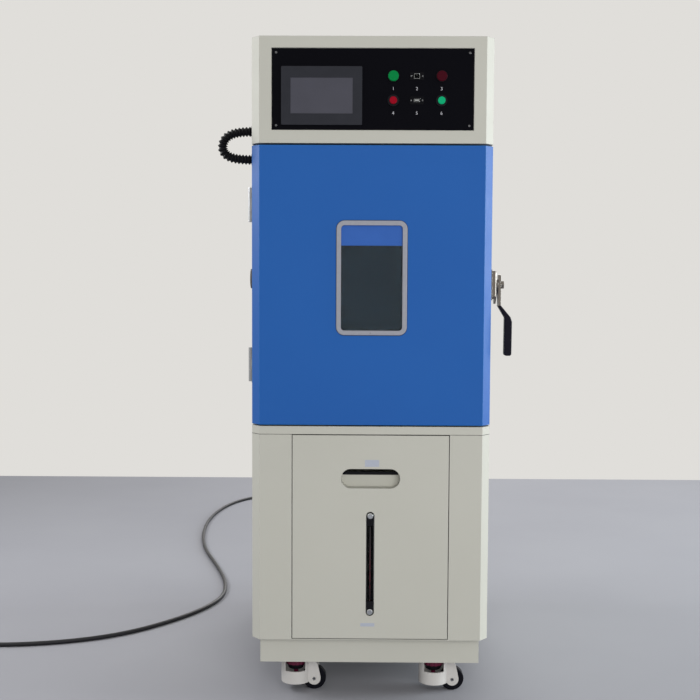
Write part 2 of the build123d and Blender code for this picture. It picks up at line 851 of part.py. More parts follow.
def button(x):
    with BuildPart() as cap:
        with BuildSketch(facing(panel_face - ring_thickness - cap_proud)):
            with Locations((x, lamp_rows[1])):
                Circle(cap_radius)
        extrude(amount=-(cap_proud + lamp_bore_depth - 2 * button_travel))
        fillet(cap.edges().group_by(Axis.Y)[0], 1.5)
    return cap


power_button = button(lamp_columns[0])
lighting_button = button(lamp_columns[1])
with BuildPart() as data_sockets:
    with BuildSketch(facing(panel_face)):
        with Locations(*socket_places):
            RectangleRounded(plate_width, plate_height, 3)
    extrude(amount=socket_plate_thickness)
    with BuildSketch(facing(panel_face)):
        with Locations(*socket_places):
            Rectangle(*socket_opening)
    extrude(amount=-socket_body_depth)
    with BuildSketch(facing(panel_face - socket_plate_thickness)):
        with Locations(socket_places[0]):
            Rectangle(*network_hole)
        with Locations(socket_places[1]):
            Rectangle(*memory_stick_hole)
        with Locations(*socket_screws):
            Circle(socket_screw_radii[0])
    extrude(amount=-contact_depth, mode=Mode.SUBTRACT)

# Hinges: a leaf on the casing and a leaf on the door, with their knuckles on one pin
knuckle_length = hinge_length / 3


def hinge_leaf(direction, knuckles):
    # A leaf that reaches along Y from the pin, with the knuckles at the given thirds of its length.
    with BuildPart() as leaf:
        for middle in hinge_heights:
            low = middle - hinge_length / 2
            with BuildSketch(Plane.XY.offset(low)):
                reach = leaf_reach - knuckle_radius - 1
                leaf_middle = frame_y + direction * (knuckle_radius + 1 + reach / 2)
                with Locations((-side - leaf_thickness / 2, leaf_middle)):
                    Rectangle(leaf_thickness, reach)
            extrude(amount=hinge_length)
            for third in knuckles:
                with BuildSketch(Plane.XY.offset(low + third * knuckle_length + seal_clearance)):
                    with Locations((hinge_x, frame_y)):
                        Circle(knuckle_radius)
                    with Locations(((hinge_x - side) / 2, frame_y + direction * (knuckle_radius + 1) / 2)):
                        Rectangle(knuckle_out, knuckle_radius + 1)
                extrude(amount=knuckle_length - 2 * seal_clearance)
        with BuildSketch(Plane.XY.offset(hinge_heights[0] - hinge_length)):
            with Locations((hinge_x, frame_y)):
                Circle(pin_radius + running_gap)
        extrude(amount=hinge_heights[1] - hinge_heights[0] + 2 * hinge_length, mode=Mode.SUBTRACT)
        if direction > 0:
            for middle in hinge_heights:
                with BuildSketch(Plane.XY.offset(middle - hinge_length / 2)):
                    with Locations((hinge_x, frame_y)):
                        Circle(pin_radius)
                extrude(amount=hinge_length)
                for low in (middle - hinge_length / 2, middle + hinge_length / 2 - 2):
                    with BuildSketch(Plane.XY.offset(low)):
                        with Locations((hinge_x, frame_y)):
                            Circle(knuckle_radius)
                    extrude(amount=2)
    return leaf


hinge_cabinet_leaves = hinge_leaf(1, (0, 2))
hinge_door_leaves = hinge_leaf(-1, (1,))

# Door: a folded skin, its foamed inner panel with the step that fills the opening, and the seal
window_tunnel_width = window_width + 2 * window_seat
window_tunnel_height = window_height + 2 * window_seat
tunnel_corner = window_corner + window_seat
with BuildPart() as door_skin:
    with BuildSketch(Plane.XY.offset(door_bottom)):
        add(casing_plan(front, door_back))
    extrude(amount=door_height)
    with BuildSketch(Plane.XY.offset(door_bottom + sheet)):
        add(casing_plan(front, door_back + sheet, sheet))
    extrude(amount=door_height - 2 * sheet, mode=Mode.SUBTRACT)
    with BuildSketch(facing(front)):
        with Locations((0, space_centre_height)):
            RectangleRounded(window_tunnel_width, window_tunnel_height, tunnel_corner)
    extrude(amount=-sheet, mode=Mode.SUBTRACT)
with BuildPart() as door_liner:
    with BuildSketch(Plane.XY.offset(door_bottom + sheet)):
        add(casing_plan(front, door_back + sheet, sheet))
    extrude(amount=door_height - 2 * sheet)
    with BuildSketch(facing(door_back)):
        with Locations((0, space_centre_height)):
            plug_width = space_width - 2 * plug_clearance
            RectangleRounded(plug_width, space_height - 2 * plug_clearance, plug_clearance)
    extrude(amount=-plug_depth)
    with BuildSketch(facing(front)):
        with Locations((0, space_centre_height)):
            RectangleRounded(window_tunnel_width, window_tunnel_height, tunnel_corner)
    extrude(amount=-(door_thickness + plug_depth), mode=Mode.SUBTRACT)
with BuildPart() as door_seal:
    with BuildSketch(facing(door_back)):
        with Locations((0, space_centre_height)):
            seal_outer = (space_width + 2 * liner_flange - 2, space_height + 2 * liner_flange - 2)
            seal_inner = (seal_outer[0] - 2 * seal_width, seal_outer[1] - 2 * seal_width)
            add(ring_plan(*seal_outer, *seal_inner, corner=2 * seal_width))
    extrude(amount=-(seal_room - liner_wall - seal_clearance))

# Window: a rubber frame through the door that holds three panes
tunnel_depth = door_thickness + plug_depth
pane_depths = (3, tunnel_depth / 2, tunnel_depth - 3 - pane_thickness)
pane_size = (window_width + 2 * pane_grip, window_height + 2 * pane_grip, window_corner + pane_grip)
with BuildPart() as window_frame:
    with BuildSketch(facing(front - lip_proud)):
        with Locations((0, space_centre_height)):
            lip = 2 * window_lip
            lip_size = (window_width + lip, window_height + lip)
            add(ring_plan(*lip_size, window_width, window_height, corner=window_corner + window_lip))
    extrude(amount=-lip_proud)
    fillet(window_frame.faces().sort_by(Axis.Y)[0].outer_wire().edges(), 2.5)
    with BuildSketch(facing(front)):
        with Locations((0, space_centre_height)):
            tunnel_size = (window_tunnel_width, window_tunnel_height)
            add(ring_plan(*tunnel_size, window_width, window_height, corner=tunnel_corner))
    extrude(amount=-tunnel_depth)
    for pane_y in pane_depths:
        with BuildSketch(facing(front + pane_y)):
            with Locations((0, space_centre_height)):
                RectangleRounded(*pane_size)
        extrude(amount=-pane_thickness, mode=Mode.SUBTRACT)
with BuildPart() as window_panes:
    for pane_y in pane_depths:
        with BuildSketch(facing(front + pane_y)):
            with Locations((0, space_centre_height)):
                RectangleRounded(*pane_size)
        extrude(amount=-pane_thickness)

# Latch: a base on the door's side, a keeper with a pin on the casing's side, and the lever with its claw
side_plane = Plane.YZ.offset(side)
arm_x = latch_base_thickness + claw_thickness + 3 * seal_clearance
with BuildPart() as latch_base:
    with BuildSketch(side_plane):
        with Locations((latch_y, latch_height)):
            RectangleRounded(latch_base_width, latch_base_height, 4)
    extrude(amount=leaf_thickness)
    with BuildSketch(side_plane.offset(leaf_thickness)):
        with Locations((latch_y, latch_height)):
            RectangleRounded(latch_base_width - 8, latch_base_height - 6, 8)
    extrude(amount=latch_base_thickness - leaf_thickness)
    chamfer(latch_base.edges().group_by(Axis.X)[-1], 2)
    with BuildSketch(side_plane):
        with Locations((latch_y, latch_height)):
            Circle(keeper_pin_radius + running_gap)
    extrude(amount=latch_base_thickness, mode=Mode.SUBTRACT)
keeper_y = latch_y + claw_reach
with BuildPart() as latch_keeper:
    with BuildSketch(side_plane):
        with Locations((keeper_y + 6, latch_height)):
            RectangleRounded(30, latch_base_height / 2, 4)
    extrude(amount=leaf_thickness)
    with BuildSketch(side_plane.offset(leaf_thickness)):
        with Locations((keeper_y, latch_height)):
            Circle(1.5 * keeper_pin_radius)
    extrude(amount=latch_base_thickness - leaf_thickness)
    with BuildSketch(side_plane.offset(leaf_thickness)):
        with Locations((keeper_y, latch_height)):
            Circle(keeper_pin_radius)
    extrude(amount=arm_x - leaf_thickness)
claw_inner = claw_reach + keeper_pin_radius + seal_clearance
with BuildPart() as latch_lever:
    with BuildSketch(side_plane.offset(latch_base_thickness + seal_clearance)):
        with Locations((latch_y, latch_height)):
            Circle(claw_inner + 8)
            Circle(claw_inner, mode=Mode.SUBTRACT)
        with BuildLine():
            Polyline(
                (latch_y, latch_height + 12),
                (latch_y + 2 * claw_inner, latch_height + 12),
                (latch_y + 2 * claw_inner, latch_height - 2 * claw_inner),
                (latch_y, latch_height),
                close=True,
            )
        make_face(mode=Mode.INTERSECT)
        with Locations((latch_y, latch_height)):
            Circle(14)
        with BuildLine():
            Polyline(
                (latch_y - 8, latch_height - 10),
                (latch_y + 10, latch_height - 8),
                (latch_y + 0.80 * claw_inner, latch_height - 0.60 * claw_inner),
                (latch_y + 0.82 * claw_inner, latch_height - 0.82 * claw_inner),
                (latch_y + 0.62 * claw_inner, latch_height - 0.80 * claw_inner),
                close=True,
            )
        make_face()
    extrude(amount=claw_thickness)
    with BuildSketch(side_plane.offset(leaf_thickness)):
        with Locations((latch_y, latch_height)):
            Circle(keeper_pin_radius)
    extrude(amount=arm_x - leaf_thickness)
    with BuildSketch(side_plane.offset(arm_x)):
        with Locations((latch_y, latch_height - arm_drop / 2 + 9)):
            SlotOverall(arm_drop + 36, arm_width, rotation=90)
    extrude(amount=arm_thickness)
    with BuildSketch(side_plane.offset(arm_x + arm_thickness)):
        with Locations((latch_y, latch_height)):
            RegularPolygon(11, 6)
    extrude(amount=8)
    with BuildSketch(side_plane.offset(arm_x)):
        with Locations((latch_y, latch_height - arm_drop - 10)):
            Rectangle(arm_width, 20)
    extrude(amount=arm_thickness, mode=Mode.SUBTRACT)
grip_top = latch_height - arm_drop
with BuildPart() as latch_grip:
    with BuildSketch(facing(latch_y)):
        with BuildLine():
            Polyline(
                (side + arm_x - 1, grip_top),
                (side + arm_x + arm_thickness + 1, grip_top),
                (side + 53, grip_top - 30),
                (side + 57, grip_top - 42),
                (side + 56.5, grip_top - 131),
                (side + 37, grip_top - 131),
                (side + 37.5, grip_top - 31),
                close=True,
            )
        make_face()
    extrude(amount=grip_width / 2, both=True)
    fillet(latch_grip.edges().filter_by(Axis.Y).sort_by(Axis.Z)[:2], 6)
    grip_sides = latch_grip.faces().sort_by(Axis.Y)
    fillet(grip_sides[0].edges() + grip_sides[-1].edges(), 3.5)

# Wiring hose from the head into the door, with a gland at each end, and the gland of the power cord
hose_top = (-side - gland_thickness, hose_depth, head_bottom + hose_rise)
hose_end = (-side - gland_thickness, hose_depth, door_top - hose_drop)
hose_points = [
    hose_top,
    (-side - 40, hose_depth, hose_top[2]),
    (-side - 75, hose_depth, hose_top[2] - 17),
    (-side - 80, hose_depth, hose_end[2] + 19),
    (-side - 48, hose_depth, hose_end[2]),
    hose_end,
]


def hose_gland(height):
    with BuildSketch(Plane.YZ.offset(-side)) as gland:
        with Locations((hose_depth, height)):
            Circle(0.6 * hose_diameter)
            Circle(0.36 * hose_diameter, mode=Mode.SUBTRACT)
    return gland.sketch


cord_start = cover_y + sheet + 20
with BuildPart() as cabinet_glands:
    extrude(hose_gland(hose_top[2]), amount=-gland_thickness)
    with BuildSketch(facing(cover_y + sheet)):
        with Locations((cord_gland_x, cord_gland_height)):
            RegularPolygon(16, 6)
    extrude(amount=-8)
    with BuildSketch(facing(cover_y + sheet + 8)):
        with Locations((cord_gland_x, cord_gland_height)):
            Circle(12)
    extrude(amount=-12)
with BuildPart() as door_gland:
    extrude(hose_gland(hose_end[2]), amount=-gland_thickness)
with BuildPart() as wiring_hose:
    with BuildLine():
        hose_line = FilletPolyline(*hose_points, radius=cord_radii(hose_points))
    with BuildSketch(Plane(origin=hose_line @ 0, z_dir=hose_line % 0)):
        Circle(hose_diameter / 2)
    sweep()

# Power cord: down from the gland, back over the floor and round the cabinet's left side
cord_floor = cord_diameter / 2
cord_points = [
    (cord_gland_x, cord_start, cord_gland_height),
    (cord_gland_x, cord_start + 62, cord_gland_height),
    (cord_gland_x + 2, cord_start + 96, cord_gland_height - 75),
    (cord_gland_x + 6, cord_start + 105, cord_gland_height - 160),
    (cord_gland_x + 12, cord_start + 135, cord_floor + 45),
    (cord_gland_x + 22, cord_start + 205, cord_floor),
    (-118, 830, cord_floor),
    (-96, 1000, cord_floor),
    (-82, 1180, cord_floor),
    (-88, 1370, cord_floor),
    (-110, 1560, cord_floor),
    (-146, 1745, cord_floor),
    (-190, 1925, cord_floor),
    (-252, 2090, cord_floor),
    (-345, 2205, cord_floor),
    (-470, 2232, cord_floor),
    (-583, 2160, cord_floor),
    (-655, 2020, cord_floor),
    (-695, 1845, cord_floor),
    (-711, 1655, cord_floor),
    (-704, 1465, cord_floor),
    (-683, 1280, cord_floor),
    (-645, 1100, cord_floor),
    (-590, 930, cord_floor),
    (-540, 765, cord_floor),
    (-504, 610, cord_floor),
    (-497, 455, cord_floor),
    (-545, 315, cord_floor),
    (-635, 180, cord_floor),
    (-755, 55, cord_floor),
    (-905, -20, cord_floor),
    (-1080, -55, cord_floor),
    (-1230, -48, cord_floor),
    (-1370, -10, power_plug_height / 2),
]
with BuildPart() as power_cord:
    with BuildLine():
        cord_line = FilletPolyline(*cord_points, radius=cord_radii(cord_points))
    with BuildSketch(Plane(origin=cord_line @ 0, z_dir=cord_line % 0)):
        Circle(cord_diameter / 2)
    sweep()
print("hose radii", [round(radius) for radius in cord_radii(hose_points)])
print("cord radii", [round(radius) for radius in cord_radii(cord_points)])
for piece, line, size in ((wiring_hose, hose_line, hose_diameter), (power_cord, cord_line, cord_diameter)):
    tube_volume = line.length * pi * size**2 / 4
    print("length", round(line.length), "volume ratio", round(piece.part.volume / tube_volume, 4))

# Plug at the cord's end, lying on the floor
plug_plane = Plane(origin=cord_line @ 1, z_dir=cord_line % 1)
with BuildPart() as power_plug:
    with BuildSketch(plug_plane):
        Circle(cord_floor)
    extrude(amount=power_plug_neck)
    with BuildSketch(plug_plane.offset(power_plug_neck)):
        RectangleRounded(power_plug_width, power_plug_height, 9)
    extrude(amount=power_plug_length)
    with BuildSketch(plug_plane.offset(power_plug_neck + power_plug_length)):
        with GridLocations(19, 0, 2, 1):
            Circle(2.4)
    extrude(amount=19)

# Water drawer: a front with a scooped pull and a gauge slot, its tray, the tank and the level gauge
drawer_top = lower_top - drawer_gap
pull_centre_height = drawer_top - pull_below_top
gauge_centre_height = drawer_bottom + gauge_rise
tray_y = front + sheet
slot_width = gauge_width + 4 * gauge_clearance
with BuildPart() as drawer_front:
    with BuildSketch(facing(front)):
        with Locations((0, (drawer_bottom + drawer_gap + drawer_top) / 2)):
            Rectangle(drawer_width, drawer_top - drawer_bottom - drawer_gap)
        with Locations((0, gauge_centre_height)):
            slot_length = gauge_spacing + slot_width
            SlotOverall(slot_length, slot_width, rotation=90, mode=Mode.SUBTRACT)
    extrude(amount=-sheet)
    with BuildSketch(facing(front)):
        with Locations((0, pull_centre_height)):
            SlotOverall(pull_width + 2 * sheet, pull_height + 2 * sheet)
    extrude(amount=-pull_depth)
    with BuildSketch(facing(front)):
        with Locations((0, pull_centre_height)):
            SlotOverall(pull_width, pull_height)
    extrude(amount=-(pull_depth - sheet), mode=Mode.SUBTRACT)
    with BuildSketch(facing(front + sheet)):
        with Locations((0, pull_centre_height + pull_height / 2 + 4)):
            Rectangle(2 * pull_width, 34)
    extrude(amount=-pull_depth, mode=Mode.SUBTRACT)
    with BuildSketch(Plane.XY.offset(drawer_tray_height)):
        with Locations((0, tray_y + drawer_tray_depth / 2)):
            Rectangle(drawer_width - 4, drawer_tray_depth)
    extrude(amount=sheet)
    with BuildSketch(Plane.XY.offset(drawer_tray_height)):
        with Locations((0, tray_y + drawer_tray_depth / 2)):
            with GridLocations(drawer_width - 4 - sheet, 0, 2, 1):
                Rectangle(sheet, drawer_tray_depth)
    extrude(amount=20)
tank_y = front + tank_setback
with BuildPart() as water_tank:
    with BuildSketch(Plane.XY.offset(drawer_tray_height + sheet)):
        with Locations((0, tank_y + tank_depth / 2)):
            RectangleRounded(tank_width, tank_depth, 25)
    extrude(amount=tank_height)
    fillet(water_tank.edges().group_by(Axis.Z)[-1], 12)
    with BuildSketch(Plane.XY.offset(drawer_tray_height + sheet + tank_height)):
        with Locations((0.3 * tank_width, tank_y + tank_depth / 2)):
            Circle(35)
    extrude(amount=14)
gauge_y = front + 3
with BuildPart() as gauge_body:
    for end in (-1, 1):
        with BuildSketch(facing(gauge_y)):
            with Locations((0, gauge_centre_height + end * gauge_spacing / 2)):
                Circle(gauge_width / 2)
            with Locations((0, gauge_centre_height + end * (gauge_spacing / 2 - gauge_end / 2))):
                Rectangle(gauge_width, gauge_end)
        extrude(amount=-(tank_y - gauge_y))
    with BuildSketch(facing(gauge_y + 12)):
        with Locations((0, gauge_centre_height)):
            Rectangle(gauge_width, gauge_spacing)
    extrude(amount=-4)
with BuildPart() as gauge_tube:
    with BuildSketch(Plane.XY.offset(gauge_centre_height - gauge_spacing / 2 + gauge_end)):
        with Locations((0, gauge_y + 6)):
            Circle(tube_radius)
    extrude(amount=gauge_spacing - 2 * gauge_end)
with BuildPart() as gauge_bolts:
    with BuildSketch(facing(gauge_y)):
        with Locations((0, gauge_centre_height)):
            with GridLocations(0, gauge_spacing, 1, 2):
                Circle(banjo_radius)
    extrude(amount=banjo_height)
    fillet(gauge_bolts.edges().group_by(Axis.Y)[0], 2.5)


# Levelling casters: the body turns under its plate and carries the wheel and the screw foot
def caster(x, y):
    ground = Plane((x, y, 0))
    upright = Plane((x, y, 0), x_dir=(1, 0, 0), z_dir=(0, -1, 0))
    axle = (wheel_offset, wheel_radius)
    cup = (-cup_offset, 0)
    with BuildPart() as body:
        with BuildSketch(ground.offset(cup_bottom)):
            with Locations(cup):
                Circle(cup_radius)
        extrude(amount=body_top - cup_bottom)
        with BuildSketch(upright):
            with BuildLine():
                Polyline(
                    (-cup_offset, cup_bottom),
                    (wheel_offset, cup_bottom),
                    (wheel_offset + axle_boss_radius + 0.5, wheel_radius + 3),
                    (wheel_offset + 10, 2.2 * wheel_radius),
                    (wheel_offset - 4, body_top),
                    (-cup_offset, body_top),
                    close=True,
                )
            make_face()
            with Locations(axle):
                Circle(axle_boss_radius)
        extrude(amount=fork_half, both=True)
        with BuildSketch(ground.offset(cup_bottom)):
            with Locations(cup):
                Circle(cup_radius - cup_wall)
        extrude(amount=window_low - cup_bottom, mode=Mode.SUBTRACT)
        with BuildSketch(ground.offset(window_low)):
            with Locations(cup):
                Circle(thumb_radius + pocket_clearance)
                Rectangle(2 * thumb_radius - 1, 4 * thumb_radius)
        extrude(amount=window_high - window_low, mode=Mode.SUBTRACT)
        with BuildSketch(upright):
            with Locations(axle):
                Circle(wheel_radius + pocket_clearance)
        extrude(amount=wheel_width / 2 + 1.5, both=True, mode=Mode.SUBTRACT)
        with BuildSketch(upright):
            with Locations(axle):
                Circle(kingpin_radius - 1)
        extrude(amount=fork_half, both=True)
        with BuildSketch(ground.offset(window_high)):
            with Locations(cup):
                Circle(foot_stem + running_gap)
        extrude(amount=body_top - window_high, mode=Mode.SUBTRACT)
        with BuildSketch(ground.offset(body_top)):
            Circle(race_radius - 4)
        extrude(amount=race_bottom - seal_clearance - body_top)
        with BuildSketch(ground.offset(body_top)):
            Circle(kingpin_radius)
        extrude(amount=caster_height - 1 - body_top)
    with BuildPart() as wheel:
        with BuildSketch(upright):
            with Locations(axle):
                Circle(wheel_radius)
        extrude(amount=wheel_width / 2, both=True)
        fillet(wheel.edges().filter_by(GeomType.CIRCLE), 3)
        with BuildSketch(upright):
            with Locations(axle):
                Circle(wheel_hub_radius)
        extrude(amount=wheel_width / 2 + 1.2, both=True)
        with BuildSketch(upright):
            with Locations(axle):
                Circle(kingpin_radius - 1 + running_gap)
        extrude(amount=fork_half, both=True, mode=Mode.SUBTRACT)
    with BuildPart() as foot:
        with BuildSketch(ground.offset(foot_rest)):
            with Locations(cup):
                Circle(foot_radius)
        extrude(amount=foot_plate)
        with BuildSketch(ground.offset(foot_rest + foot_plate)):
            with Locations(cup):
                Circle(foot_stem)
        extrude(amount=body_top - seal_clearance - foot_rest - foot_plate)
        with BuildSketch(ground.offset(window_high - 1 - thumb_height)):
            with Locations(cup):
                Circle(thumb_radius)
                with PolarLocations(thumb_radius + 2, thumb_notches):
                    Circle(4, mode=Mode.SUBTRACT)
        extrude(amount=thumb_height)
    return body, wheel, foot


pieces = {
    "base_frame": base_frame,
    "caster_plates": caster_plates,
    "lower_casing": lower_casing,
    "upper_casing": upper_casing,
    "chamber_insulation": chamber_insulation,
    "chamber_liner": chamber_liner,
    "air_baffle": air_baffle,
    "shelves": shelves,
    "circulation_fan": circulation_fan,
    "fan_motor": fan_motor,
    "heater_coil": heater_coil,
    "evaporator_coil": evaporator_coil,
    "cable_port": cable_port,
    "port_plug": port_plug,
    "rear_cover": rear_cover,
    "compressor": compressor,
    "condenser": condenser,
    "condenser_fan": condenser_fan,
    "control_panel": control_panel,
    "panel_screws": panel_screws,
    "touch_screen_body": touch_screen_body,
    "touch_screen_glass": touch_screen_glass,
    "indicator_bodies": indicator_bodies,
    "lamp_lenses": lamp_lenses,
    "power_button": power_button,
    "lighting_button": lighting_button,
    "data_sockets": data_sockets,
    "hinge_cabinet_leaves": hinge_cabinet_leaves,
    "hinge_door_leaves": hinge_door_leaves,
    "door_skin": door_skin,
    "door_liner": door_liner,
    "door_seal": door_seal,
    "window_frame": window_frame,
    "window_panes": window_panes,
    "latch_base": latch_base,
    "latch_keeper": latch_keeper,
    "latch_lever": latch_lever,
    "latch_grip": latch_grip,
    "cabinet_glands": cabinet_glands,
    "door_gland": door_gland,
    "wiring_hose": wiring_hose,
    "power_cord": power_cord,
    "power_plug": power_plug,
    "drawer_front": drawer_front,
    "water_tank": water_tank,
    "gauge_body": gauge_body,
    "gauge_tube": gauge_tube,
    "gauge_bolts": gauge_bolts,
}
for corner_name, place in zip(("left_front", "left_rear", "right_front", "right_rear"), caster_places):
    for kind, piece in zip(("body", "wheel", "foot"), caster(*place)):
        pieces[f"{corner_name}_caster_{kind}"] = piece
for name, piece in pieces.items():
    piece.part.label = name
    export_step(piece.part, f"parts/{name}.step")
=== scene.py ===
import bpy
import bmesh
import math
from mathutils import Matrix, Vector


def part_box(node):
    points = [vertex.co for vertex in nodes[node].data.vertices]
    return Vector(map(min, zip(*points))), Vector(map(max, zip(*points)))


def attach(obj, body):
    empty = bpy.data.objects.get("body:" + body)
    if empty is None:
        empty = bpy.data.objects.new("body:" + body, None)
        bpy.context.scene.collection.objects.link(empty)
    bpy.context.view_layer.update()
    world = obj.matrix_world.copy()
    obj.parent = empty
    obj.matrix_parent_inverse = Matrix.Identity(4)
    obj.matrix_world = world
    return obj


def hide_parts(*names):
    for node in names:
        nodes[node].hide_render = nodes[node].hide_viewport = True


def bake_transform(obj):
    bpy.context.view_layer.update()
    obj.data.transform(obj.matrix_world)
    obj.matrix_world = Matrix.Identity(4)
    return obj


# Environmental test chamber on levelling casters. Metres, +Z up, the door faces -Y.
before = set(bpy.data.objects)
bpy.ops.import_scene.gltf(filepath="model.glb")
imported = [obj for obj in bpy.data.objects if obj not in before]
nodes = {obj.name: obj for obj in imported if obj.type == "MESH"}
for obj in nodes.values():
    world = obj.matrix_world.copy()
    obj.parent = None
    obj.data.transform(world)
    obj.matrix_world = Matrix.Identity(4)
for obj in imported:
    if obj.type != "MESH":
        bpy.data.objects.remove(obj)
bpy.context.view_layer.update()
print("frame loaded:", len(nodes), "nodes")


def box(node):
    low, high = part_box(node)
    return Vector(low), Vector(high)


def addObject(name, data):
    thing = bpy.data.objects.new(name, data)
    bpy.context.scene.collection.objects.link(thing)
    return thing


# Camera at the photograph's place: 3.3 m in front of the cabinet, 1.1 m up, looking a little down.
# The yaw is in radians, the pitch and the roll are in degrees.
view = {
    "position": (-0.0343, -3.2734, 1.1102), "yaw": -0.0073, "pitch": 3.757, "roll": 0.27,
    "focal": 1097, "frame": 700, "sensor": 36,
}


def makeCamera():
    yaw, pitch, roll = view["yaw"], math.radians(view["pitch"]), math.radians(view["roll"])
    level = math.cos(pitch)
    forward = Vector((math.sin(yaw) * level, math.cos(yaw) * level, -math.sin(pitch)))
    right = Vector((math.cos(yaw), -math.sin(yaw), 0))
    up = right.cross(forward)
    right, up = right * math.cos(roll) + up * math.sin(roll), up * math.cos(roll) - right * math.sin(roll)
    data = bpy.data.cameras.new("camera")
    data.sensor_width = view["sensor"]
    data.lens = view["sensor"] * view["focal"] / view["frame"]
    camera = addObject("camera", data)
    turn = Matrix((right, up, -forward)).transposed().to_4x4()
    camera.matrix_world = Matrix.Translation(view["position"]) @ turn
    bpy.context.scene.camera = camera


makeCamera()


def hexColour(code):
    # sRGB hex to linear
    values = [int(code[i:i + 2], 16) / 255 for i in (1, 3, 5)]
    return [v / 12.92 if v <= 0.04045 else ((v + 0.055) / 1.055) ** 2.4 for v in values] + [1]


# A socket takes a value, a hex colour, or another node's output, which is linked to it
def fillSockets(tree, node, sockets):
    for name, value in sockets.items():
        if isinstance(value, bpy.types.NodeSocket):
            tree.links.new(value, node.inputs[name])
        else:
            node.inputs[name].default_value = hexColour(value) if isinstance(value, str) else value


# One node with its sockets and settings, for materials and for Geometry Nodes. Gives one of its outputs.
def addNode(tree, kind, sockets, output=0, **settings):
    node = tree.nodes.new(kind)
    for name, value in settings.items():
        setattr(node, name, value)
    fillSockets(tree, node, sockets)
    return node.outputs[output]


def newMaterial(name):
    material = bpy.data.materials.new(name)
    material.use_nodes = True
    tree = material.node_tree
    place = addNode(tree, "ShaderNodeTexCoord", {}, "Object")
    return material, tree, tree.nodes["Principled BSDF"], place


def edgeWear(tree, radius):
    # 0 on flat stretches, up to 1 along edges and folds, and the normal that rounds them
    rounded = addNode(tree, "ShaderNodeBevel", {"Radius": radius}, samples=4)
    plain = addNode(tree, "ShaderNodeNewGeometry", {}, "Normal")
    same = addNode(tree, "ShaderNodeVectorMath", {0: rounded, 1: plain}, "Value", operation="DOT_PRODUCT")
    return addNode(tree, "ShaderNodeMapRange", {"Value": same, "From Min": 1.0, "From Max": 0.8}), rounded


def mottle(tree, place, size, detail, first, second, share=1.0):
    # Two colours in soft spots of a size in metres, and the spots themselves for the other sockets
    spots = addNode(tree, "ShaderNodeTexNoise", {"Vector": place, "Scale": 1 / size, "Detail": detail})
    amount = addNode(tree, "ShaderNodeMapRange", {"Value": spots, "To Max": share})
    return addNode(tree, "ShaderNodeMix", {0: amount, 6: first, 7: second}, 2, data_type="RGBA"), spots


def rubbed(tree, edges, share, under, bare):
    # The colour along edges: worn edges, and in the powder coat a painted highlight
    amount = addNode(tree, "ShaderNodeMapRange", {"Value": edges, "To Max": share})
    return addNode(tree, "ShaderNodeMix", {0: amount, 6: under, 7: bare}, 2, data_type="RGBA")


def relief(tree, place, size, detail, recipe, rounded=None):
    # Fine bumps of a size in metres, on the rounded normal where there is one
    bumps = addNode(tree, "ShaderNodeTexNoise", {"Vector": place, "Scale": 1 / size, "Detail": detail})
    sockets = {"Height": bumps, "Strength": recipe["strength"], "Distance": recipe["deep"]}
    if rounded:
        sockets["Normal"] = rounded
    return addNode(tree, "ShaderNodeBump", sockets)


def finishSurface(tree, shader, base, spots, roughness, recipe, others):
    # The colour, a roughness that wanders with the spots, and the other sockets
    span = {"Value": spots, "To Min": roughness - recipe["smoother"], "To Max": roughness + recipe["rougher"]}
    wander = addNode(tree, "ShaderNodeMapRange", span)
    fillSockets(tree, shader, {"Base Color": base, "Roughness": wander, **others})


# Polyester powder coat, baked on steel sheet: an even satin colour with fine orange peel, about 2 mm
# from bump to bump, and folded edges in a lighter colour, which is a painted highlight
powder = {
    "fold": 0.0014, "wearAndHighlight": 0.55, "clouds": 0.35, "speck": 0.0012, "thin": 0.35, "dense": 0.75, "share": 0.10,
    "sheen": 0.06, "smoother": 0.06, "rougher": 0.07, "peel": 0.0022, "strength": 0.10, "deep": 0.0004,
}


def powderCoat(name, colour, edge, shade, roughness=0.42, gloss=0.4):
    material, tree, shader, place = newMaterial(name)
    edges, rounded = edgeWear(tree, powder["fold"])
    base = mottle(tree, place, powder["clouds"], 3, colour, shade)[0]
    speck = addNode(tree, "ShaderNodeTexNoise", {"Vector": place, "Scale": 1 / powder["speck"], "Detail": 1})
    grain = addNode(tree, "ShaderNodeMapRange", {
        "Value": speck, "From Min": powder["thin"], "From Max": powder["dense"], "To Max": powder["share"],
    })
    base = addNode(tree, "ShaderNodeMix", {0: grain, 6: base, 7: edge}, 2, data_type="RGBA")
    # Painted highlight: the lighter edge colour along edges and folds
    base = rubbed(tree, edges, powder["wearAndHighlight"], base, edge)
    sheen = addNode(tree, "ShaderNodeTexNoise", {"Vector": place, "Scale": 1 / powder["sheen"], "Detail": 3})
    peel = relief(tree, place, powder["peel"], 2, powder, rounded)
    others = {"Specular IOR Level": gloss, "Normal": peel}
    finishSurface(tree, shader, base, sheen, roughness, powder, others)
    return material


# Cold-rolled stainless sheet, brushed along one way: long scratches in a soft mirror, drawn 0.6 mm
# apart, which is coarser than the real ones, so that they show
brushed = {
    "fold": 0.0008, "wearAndHighlight": 0.5, "bare": "#D8D6D2", "clouds": 0.09, "smoother": 0.08, "rougher": 0.12,
    "scratch": 0.0006, "contrast": 2, "strength": 0.08, "deep": 0.0002,
}


